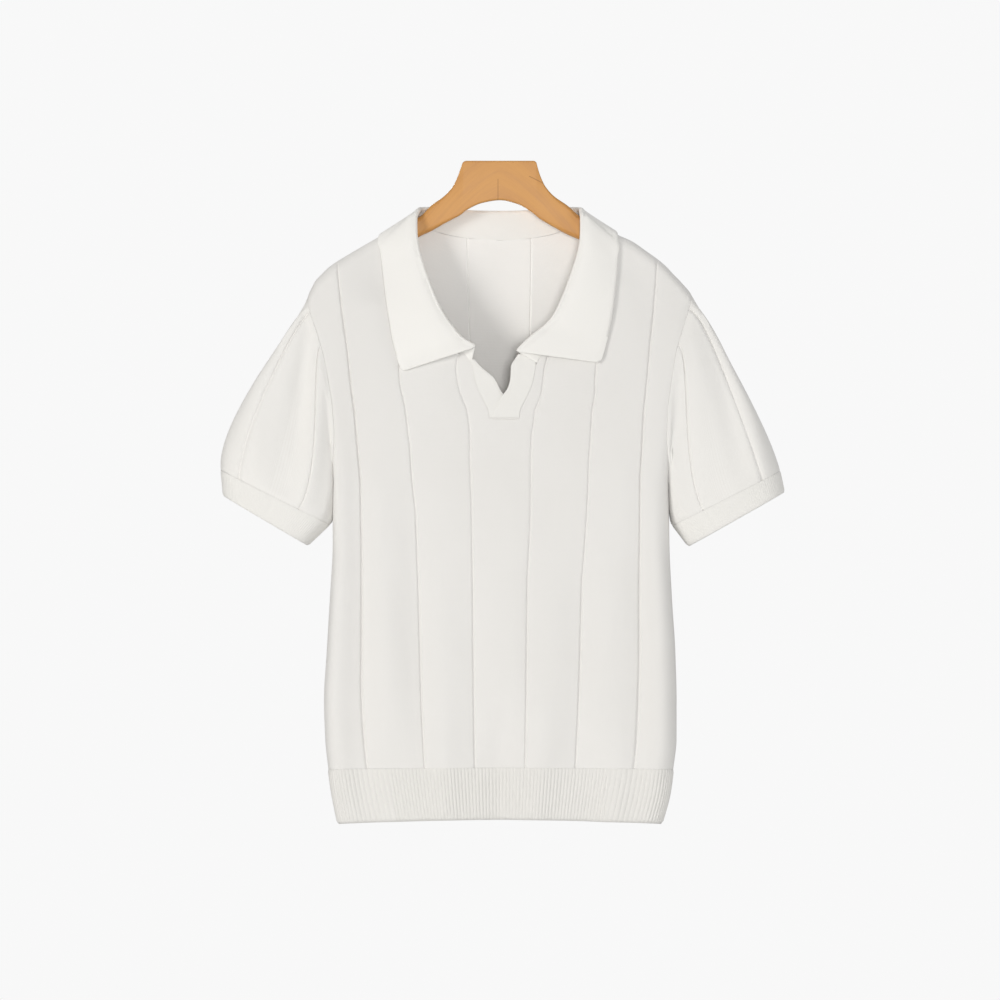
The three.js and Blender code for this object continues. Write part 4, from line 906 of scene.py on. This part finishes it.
# Back: t, foldX, foldZ, edgeS, edgeT, bulge
collarBack = [
    (46.5, 0, -57, 0, 59, 3), (44, 29, -56.5, 35, 58, 3), (39, 50, -55.2, 61, 52, 3),
    (33, 65, -53.5, 82, 43, 2.5), (24, 77, -52.8, 99, 31, 1.5),
]
# Over the shoulder: t, foldX, foldY, fold and edge behind, fold and edge in front, edgeT, bulge
collarShoulder = [
    (12, 85, 10, (-53, 110), (-59, 115.5), 18, 0), (6, 88.5, 5, (-53.5, 113), (-56, 115), 9, -0.6),
    (0, 89.5, 0, (-54.5, 114.5), (-54.5, 114.5), 0, -0.8),
]
# Front: seamZ, foldX, foldZ, edgeX, edgeZ
collarFront = {
    -1: [
        (-79, 93.2, -62, 131, -97), (-96, 93.2, -78, 129.5, -113), (-113, 90.7, -97, 128, -129),
        (-131, 85.2, -117, 126, -147), (-149, 78.2, -137, 123.8, -164), (-165, 70.7, -156, 121.2, -179),
        (-181, 61.7, -173, 118.8, -194), (-195, 51.7, -186, 115.8, -207), (-207, 44, -195, 112.5, -220),
        (-217, 35, -201, 108.8, -228.5), (-223, 27.5, -205.5, 104.5, -231.5),
    ],
    1: [
        (-79, 90.2, -62, 130.5, -95), (-96, 90.2, -78, 129, -111), (-113, 88.2, -97, 128, -127),
        (-131, 82.7, -117, 126.3, -144), (-149, 75.7, -137, 124.5, -160), (-165, 68.2, -156, 122.5, -174),
        (-181, 59.5, -173, 120, -187), (-195, 48.5, -184.5, 117.3, -199), (-207, 38, -192.5, 114.3, -210),
        (-217, 27.5, -202, 111.6, -219), (-223, 19.5, -210.5, 108, -223),
    ],
}


def onBody(s, t, face, lift):
    return bodyPoint(s, t, face) + bodyNormal(s, t, face) * lift


def onFront(x, z, lift):
    s, t = findOnBody(x, z, -1)
    return onBody(s, t, -1, lift)


# The stand's lower edge, off the neckline and square to it
def seamBeside(side, t, face, fold):
    neckS = frontNeckS if face < 0 else backNeckS
    here = float(neckS(t)) * side
    seam = onBody(here, t, face, -body["wall"] / 2)
    if t == 0:
        seam[1] = 0
        along = np.array([0.0, 1, 0])
    else:
        along = bodyPoint(here, t, face) - bodyPoint(float(neckS(t - 1)) * side, t - 1, face)
    away = unit(np.cross(along, bodyNormal(here, t, face)))
    if away @ (fold - seam) < 0:
        away = -away
    return seam + away * collar["neckGap"]


def collarHalf(side):
    stations = []
    for t, foldX, foldZ, edgeS, edgeT, bulge in collarBack:
        depth = bodyPoint(side * float(backNeckS(t)), t, 1)[1] - collar["backLean"]
        fold = np.array([side * foldX, depth, foldZ])
        stations.append((seamBeside(side, t, 1, fold), fold,
                         onBody(side * edgeS, edgeT, 1, collar["leafLift"]), bulge))
    topX = collarShoulder[-1][1]
    for face, rows in ((1, collarShoulder), (-1, collarShoulder[-2::-1])):
        for t, foldX, foldY, behind, before, edgeT, bulge in rows:
            foldZ, edgeS = before if face < 0 else behind
            if face < 0:
                foldX = topX + (collarFront[side][0][1] - topX) * t / collar["frontTurnT"]
            fold = np.array([side * foldX, face * foldY, foldZ])
            edge = onBody(side * edgeS, edgeT, face, collar["shoulderLift"])
            if t == 0:
                edge[1] = 0
            stations.append((seamBeside(side, t, face, fold), fold, edge, bulge))
    for seamZ, foldX, foldZ, edgeX, edgeZ in collarFront[side]:
        neckS = side * float(tableAt(frontNeckLine["z"], frontNeckLine["s"], seamZ))
        seamT = float(solveT(neckS, seamZ))
        fold = onFront(side * foldX, foldZ, 0)
        fold[0], fold[2] = side * foldX, foldZ
        fold[1] = min(fold[1] - collar["foldLift"], bodyPoint(neckS, seamT, -1)[1] + 1)
        stations.append((seamBeside(side, seamT, -1, fold), fold,
                         onFront(side * edgeX, edgeZ, collar["leafLift"]), collar["frontBulge"]))
    return stations


# A line whose small kinks are averaged out, with its two ends kept
def evenLine(line, reach):
    padded = np.vstack([2 * line[0] - line[reach:0:-1], line, 2 * line[-1] - line[-2:-reach - 2:-1]])
    weights = np.hanning(2 * reach + 3)[1:-1]
    return np.stack([np.convolve(column, weights / weights.sum(), "valid") for column in padded.T], -1)


def makeCollar(name):
    stations = collarHalf(-1)[:0:-1] + collarHalf(1)
    count = (len(stations) - 1) * collar["stationsPerRow"] + 1
    seam, fold, edge = (smoothLine([row[k] for row in stations], count) for k in range(3))
    bulge = smoothLine([[row[3]] for row in stations], count)[:, 0]
    fold, edge = evenLine(fold, collar["foldEven"]), evenLine(edge, collar["edgeEven"])
    along = unit(np.gradient(fold, axis=0))
    rise = unit(fold - seam)
    out = unit(np.cross(rise, along))
    radius = collar["foldRadius"]
    rows = []
    for u in np.linspace(0, 1, collar["standPoints"], endpoint=False):
        rows.append(seam * (1 - u) + (fold - out * radius) * u)
    for turn in np.linspace(0, np.pi, collar["foldPoints"]):
        rows.append(fold + radius * (rise * np.sin(turn) - out * np.cos(turn)))
    leafTop = fold + out * radius
    # Only where the leaf passes over the shoulder's ridge is it rounded along its length
    overShoulder = ease(*collar["evenX"], np.abs(fold[:, 0])) * ease(*collar["evenZ"], fold[:, 2])
    for u in np.linspace(0, 1, collar["leafPoints"])[1:]:
        lift = bulge[:, None] * np.sin(np.pi * np.sqrt(u))
        row = leafTop * (1 - u) + edge * u + out * lift
        share = (overShoulder * ease(0, collar["evenFrom"], u))[:, None]
        rows.append(row + (evenLine(row, collar["leafEven"]) - row) * share)
    middle = np.stack(rows)
    tangent = unit(np.gradient(middle, axis=0))
    sideways = unit(np.cross(tangent, np.broadcast_to(along, tangent.shape)))
    # Knit edges are full and round, so the wall thins over its last 2 mm
    share = np.cumsum(np.linalg.norm(np.gradient(middle, axis=0), axis=-1), axis=0)
    fromEdge = share[-1] - share
    ends = np.minimum(np.arange(count), np.arange(count)[::-1])[None]
    thin = np.minimum(ease(*collar["thinDown"], fromEdge), ease(*collar["thinAlong"], ends))
    half = collar["wall"] / 2 * thin
    wave = (collar["wave"] * np.sin(np.arange(count) / collar["waveLength"])
            * ease(0, 1, np.linspace(0, 1, len(middle)))[:, None])
    outer = middle + sideways * (half + wave)[..., None]
    inner = middle - sideways * (half - wave)[..., None]
    run = np.concatenate([[0], np.cumsum(np.linalg.norm(np.diff(fold, axis=0), axis=1))])
    uv = np.stack([np.broadcast_to(run, share.shape), share], -1)
    return wallFromGrid(name, outer, inner, uv, 75)


finishPiece(makeCollar("collar_knit"), "collar", collarLitFinish)
print("collar made")

placket = {
    "wall": 1.4, "rows": 30, "columns": 12, "roll": 0.6, "rollWidth": 2.4, "tuck": 0.15, "tuckHalf": 1.4,
}
# z, edgeX, borderIn, borderOut, edgeOut
placketRows = {
    1: [
        (-213, 20, 13, 0.8, 1.3), (-219, 16, 4, 0.6, 1.2), (-226, 12.1, 0, 0.5, 1.1),
        (-240, 11.3, 0, 0.4, 0.9), (-250, 8.5, 0, 0.4, 0.8), (-260, 1.5, 0, 0.4, 0.7),
        (-271, -4, 0, 0.4, 0.6), (-283, -10, 0, 0.3, 0.5),
    ],
    -1: [
        (-219, -28, 0, 0.8, 0.8), (-226, -22, 0, 0.8, 0.6), (-240, -6.2, 0, 0.5, 0.1),
        (-250, -0.9, 0, 0.3, -1.1), (-260, 5, 0, 0.2, -1.3), (-271, 7, 0, 0.1, -1.5),
        (-283, 5, 0, -0.1, -1.5),
    ],
}


def makePlacket(side, name):
    table = np.array(placketRows[side], float)
    z = np.linspace(table[0, 0], table[-1, 0], placket["rows"])
    edgeX, borderIn, borderOut, edgeOut = (tableAt(table[:, 0], table[:, k], z) for k in (1, 2, 3, 4))
    neckS = np.where(z > slotPlace["topZ"], tableAt(frontNeckLine["z"], frontNeckLine["s"], z),
                     slotPlace["half"])
    t = solveT(neckS, z)
    t[-1] -= body["seamGap"]
    border = bodyPoint(side * neckS, t, -1)
    startX = border[:, 0] - side * (body["seamGap"] + borderIn)
    u = np.linspace(0, 1, placket["columns"])[None]
    x = startX[:, None] + (edgeX - startX)[:, None] * u
    out = borderOut[:, None] + (edgeOut - borderOut)[:, None] * u
    grid = np.stack([x, border[:, 1:2] - out, np.broadcast_to(border[:, 2:3], x.shape)], -1)
    width = np.abs(edgeX - startX)[:, None]
    roll = (placket["roll"] * (ease(0, placket["rollWidth"], (1 - u) * width) - 1)
            - placket["tuck"] * np.exp(-(u * width / placket["tuckHalf"]) ** 2))
    outer = grid - np.array([0, 1, 0]) * roll[..., None]
    inner = grid + np.array([0, placket["wall"], 0])
    uv = np.stack([u * width, np.broadcast_to(-z[:, None], x.shape)], -1)
    return wallFromGrid(name, outer, inner, uv)


for side, word in ((-1, "left"), (1, "right")):
    finishPiece(makePlacket(side, "placket_" + word + "_knit"), "placket_" + word, ribFinish)
print("placket made")

hangerHead = {
    "x": [0, 19, 37, 40.7, 43.2, 46.4, 51.7, 61, 75.5, 87.3],
    "rightX": [0, 19, 37, 39.8, 41.6, 44.5, 49.8, 59, 74, 87.3],
    "topZ": [0, 0, 0, -1.6, -8, -17, -28, -38.5, -49, -60.5],
    "left": [-43, -45.9, -54, -57, -59, -61, -63.8, -68.6, -77, -82.5],
    "right": [-43, -47.2, -57.8, -60.2, -61.8, -64, -67.2, -72.6, -80.8, -86.6],
    "half": [8, 8, 8, 8, 8, 8, 8, 8, 8, 7.4],
    "corner": [2, 2, 2, 2, 2.2, 2.4, 2.8, 3.5, 5, 6],
}
hangerArm = {
    "x": [98, 112, 124, 136, 146, 158, 170, 181, 187],
    "depth": [24, 24, 24, 24, 24, 23, 22, 18, 13],
    "half": [8, 8.2, 8.5, 8.8, 9.2, 9.6, 10, 8.5, 6],
    "corner": [6.5, 7, 7, 7.4, 7.8, 8.2, 8.6, 7.2, 4.8],
    "lower": [0, 0, 0, 0, 0, 0, 0, 0.5, 1.5],
}
hanger = {"underCloth": 1.6, "step": 1.0, "endSteps": [0, 0.15, 0.5], "cornerPoints": 7, "armZ": -60}


def makeHanger(name):
    columns = []
    for side, word in ((-1, "left"), (1, "right")):
        xs = hangerHead["x" if side < 0 else "rightX"]
        half = [(side * x, *row) for x, *row in zip(
            xs, hangerHead["topZ"], hangerHead[word], hangerHead["half"], hangerHead["corner"])]
        for i, x in enumerate(hangerArm["x"]):
            s = findOnBody(side * x, hanger["armZ"], 1)[0]
            top = bodyPoint(s, 0, 1)
            topZ = top[2] - body["wall"] - hanger["underCloth"] - hangerArm["lower"][i]
            half.append((top[0], topZ, topZ - hangerArm["depth"][i], hangerArm["half"][i],
                         hangerArm["corner"][i]))
        columns.append(half)
    table = np.array(columns[0][:0:-1] + columns[1])
    step = hanger["step"]
    x = np.arange(table[0, 0], table[-1, 0] + step / 2, step)
    ends = np.array(hanger["endSteps"])
    x = np.concatenate([table[0, 0] + ends, x[2:-2], table[-1, 0] - ends[::-1]])
    topZ, bottomZ, half, corner = (tableAt(table[:, 0], table[:, k], x) for k in (1, 2, 3, 4))
    rings = []
    for cornerY, cornerZ, start in ((1, 1, 0), (-1, 1, 90), (-1, -1, 180), (1, -1, 270)):
        for turn in np.linspace(0, 90, hanger["cornerPoints"]):
            angle = math.radians(start + turn)
            y = cornerY * (half - corner) + corner * math.cos(angle)
            base = topZ - corner if cornerZ > 0 else bottomZ + corner
            rings.append(np.stack([x, y, base + corner * math.sin(angle)], -1))
    grid = np.stack(rings, 1)
    count, ring = grid.shape[:2]
    points = grid.reshape(-1, 3).tolist()
    faces = [[i * ring + j, i * ring + k, (i + 1) * ring + k, (i + 1) * ring + j]
             for i in range(count - 1) for j, k in enumerate([*range(1, ring), 0])]
    for i, flip in ((0, True), (count - 1, False)):
        points.append(grid[i].mean(0).tolist())
        for j in range(ring):
            face = [i * ring + j, i * ring + (j + 1) % ring, len(points) - 1]
            faces.append(face[::-1] if flip else face)
    if not outwardFaces(points, faces):
        faces = [face[::-1] for face in faces]
    uv = [[points[v][0], points[v][2]] for face in faces for v in face]
    return makePiece(name, points, faces, uv, 50)


# Honey coloured wood: long grain along the arms, a middle joint and one short check
def makeWood(name):
    material, tree, shader = newMaterial(name, {"Specular IOR Level": 0.35})
    place = addNode(tree, "ShaderNodeTexCoord").outputs["Object"]
    x, y, z = addNode(tree, "ShaderNodeSeparateXYZ", {0: place}).outputs
    # Grain runs along each arm: the height is measured from a line that falls away to both sides
    reach = mathNode(tree, "POWER", mathNode(tree, "ABSOLUTE", x), 1.35)
    level = mathNode(tree, "ADD", z, mathNode(tree, "MULTIPLY", reach, 2.2))
    stretched = addNode(tree, "ShaderNodeCombineXYZ", {
        0: mathNode(tree, "MULTIPLY", x, 0.09), 1: y, 2: level})
    bands, fibres, clouds = (
        addNode(tree, "ShaderNodeTexNoise", {
            "Vector": vector, "Scale": scale, "Detail": detail, "Roughness": roughness}).outputs["Fac"]
        for vector, scale, detail, roughness in (
            (stretched.outputs[0], 95, 5, 0.6), (stretched.outputs[0], 620, 3, 0.7), (place, 16, 2, 0.5)))
    mixed = mathNode(tree, "MULTIPLY_ADD", bands, 0.55, mathNode(tree, "MULTIPLY", fibres, 0.25))
    total = mathNode(tree, "ADD", mixed, mathNode(tree, "MULTIPLY", clouds, 0.2))
    ramp = addNode(tree, "ShaderNodeValToRGB", {0: total})
    stops = ramp.color_ramp.elements
    stops[0].position, stops[0].color = 0.3, (0.49, 0.226, 0.069, 1)
    stops[1].position, stops[1].color = 0.72, (0.655, 0.335, 0.103, 1)
    stops.new(0.5).color = (0.59, 0.29, 0.086, 1)

    # A dark line where a height is near nothing, in metres
    def thinLine(height):
        share = mathNode(tree, "DIVIDE", mathNode(tree, "ABSOLUTE", height), 0.0006)
        return mathNode(tree, "SUBTRACT", 1.0, share, clamp=True)

    joint = mathNode(tree, "MULTIPLY", thinLine(mathNode(tree, "ADD", x, 0.0022)),
                     mathNode(tree, "GREATER_THAN", -0.02, z))
    check = thinLine(mathNode(tree, "ADD", z, mathNode(tree, "MULTIPLY_ADD", x, 0.5, 0.001)))
    for more, less in ((x, 0.032), (0.05, x), (0.0, y)):
        check = mathNode(tree, "MULTIPLY", check, mathNode(tree, "GREATER_THAN", more, less))
    marks = mathNode(tree, "ADD", mathNode(tree, "MULTIPLY", joint, 0.6),
                     mathNode(tree, "MULTIPLY", check, 0.75), clamp=True)
    dark = addNode(tree, "ShaderNodeMix", {
        "A": ramp.outputs[0], "B": (0.13, 0.05, 0.018, 1), "Factor": marks}, data_type="RGBA")
    tree.links.new(dark.outputs["Result"], shader.inputs["Base Color"])
    tree.links.new(mathNode(tree, "MULTIPLY_ADD", bands, 0.2, 0.38), shader.inputs["Roughness"])
    bump = addNode(tree, "ShaderNodeBump", {
        "Strength": 0.25, "Distance": 0.0004, "Height": mathNode(tree, "SUBTRACT", total, marks)})
    tree.links.new(bump.outputs[0], shader.inputs["Normal"])
    return material


finishPiece(makeHanger("hanger_wood"), "hanger", makeWood("honeyWood"))
print("hanger made")


# One piece of yarn stitches along lines of points in millimetres
def makeStitches(name, lines, values):
    points, edges = [], []
    for line in lines:
        start = len(points)
        points += [list(p) for p in np.asarray(line) * metre]
        edges += [(start + i, start + i + 1) for i in range(len(line) - 1)]
    mesh = bpy.data.meshes.new(name)
    mesh.from_pydata(points, edges, [])
    piece = applyTree(addObject(name, mesh), stitchTree, {"Finish": ribFinish, **values})
    piece.data.shade_smooth()
    return finishPiece(piece)


# The row of stitches below the placket
placketStitches = makeStitches("placket_stitches", [
    [onFront(x, slotPlace["bottomZ"] - 1.6, 0.1) for x in np.linspace(-8, 20, 12)],
], {"Stitch Length": 0.0022, "Yarn Thickness": 0.0008, "Unevenness": 0.15, "Seed": 5})
print("stitches made")

studio = {
    "floorZ": -1.2, "floorRadius": 2.3, "viewWidth": 1.1, "viewZ": -0.3729, "viewDistance": 8.0,
    "backdrop": 0.94, "fill": 0.3, "floorPoints": 96, "sensor": 36, "lampAim": (0, 0, -0.4),
}
turns = np.linspace(0, 2 * math.pi, studio["floorPoints"], endpoint=False)
floorMesh = bpy.data.meshes.new("studio_floor")
floorMesh.from_pydata([(studio["floorRadius"] * math.cos(a), studio["floorRadius"] * math.sin(a),
                        studio["floorZ"]) for a in turns], [], [list(range(studio["floorPoints"]))])
floor = addObject("studio_floor", floorMesh)
floor.data.materials.append(newMaterial("paleFloor", {
    "Base Color": (0.86, 0.86, 0.855, 1), "Roughness": 0.8})[0])

world = bpy.data.worlds.new("paleStudio")
scene.world = world
world.use_nodes = True
tree = world.node_tree
background = tree.nodes["Background"]
path = addNode(tree, "ShaderNodeLightPath")
strength = addNode(tree, "ShaderNodeMix", {
    "Factor": path.outputs["Is Camera Ray"], "A": studio["fill"], "B": studio["backdrop"]})
tree.links.new(strength.outputs["Result"], background.inputs["Strength"])
background.inputs["Color"].default_value = (1, 1, 1, 1)


def addLamp(name, position, size, power, color=(1, 1, 1)):
    data = bpy.data.lights.new(name, "AREA")
    data.shape, data.energy, data.color = "RECTANGLE", power, color
    data.size, data.size_y = size
    lamp = addObject(name, data)
    lamp.visible_camera = False
    lamp.location = position
    aim = Vector(studio["lampAim"]) - lamp.location
    lamp.rotation_euler = aim.to_track_quat("-Z", "Y").to_euler()


addLamp("keyLamp", (-5.95, -5.35, 0.2), (2.4, 2.4), 268, (1, 0.985, 0.96))
addLamp("frontFill", (0.7, -9, -0.1), (2, 2), 318)
addLamp("rightFill", (8.2, -2.6, 0.2), (2.5, 2.5), 120)
addLamp("topLamp", (0, 2.5, 6), (3, 2), 90)
addLamp("backFill", (-1.5, 9, 0.6), (3, 3), 330)

camera = addObject("camera", bpy.data.cameras.new("camera"))
camera.location = (0, -studio["viewDistance"], studio["viewZ"])
camera.rotation_euler = (math.pi / 2, 0, 0)
camera.data.sensor_width = studio["sensor"]
camera.data.lens = studio["sensor"] * studio["viewDistance"] / studio["viewWidth"]
camera.data.clip_end = 100
scene.camera = camera
scene.view_settings.view_transform = "Standard"
print("studio made")
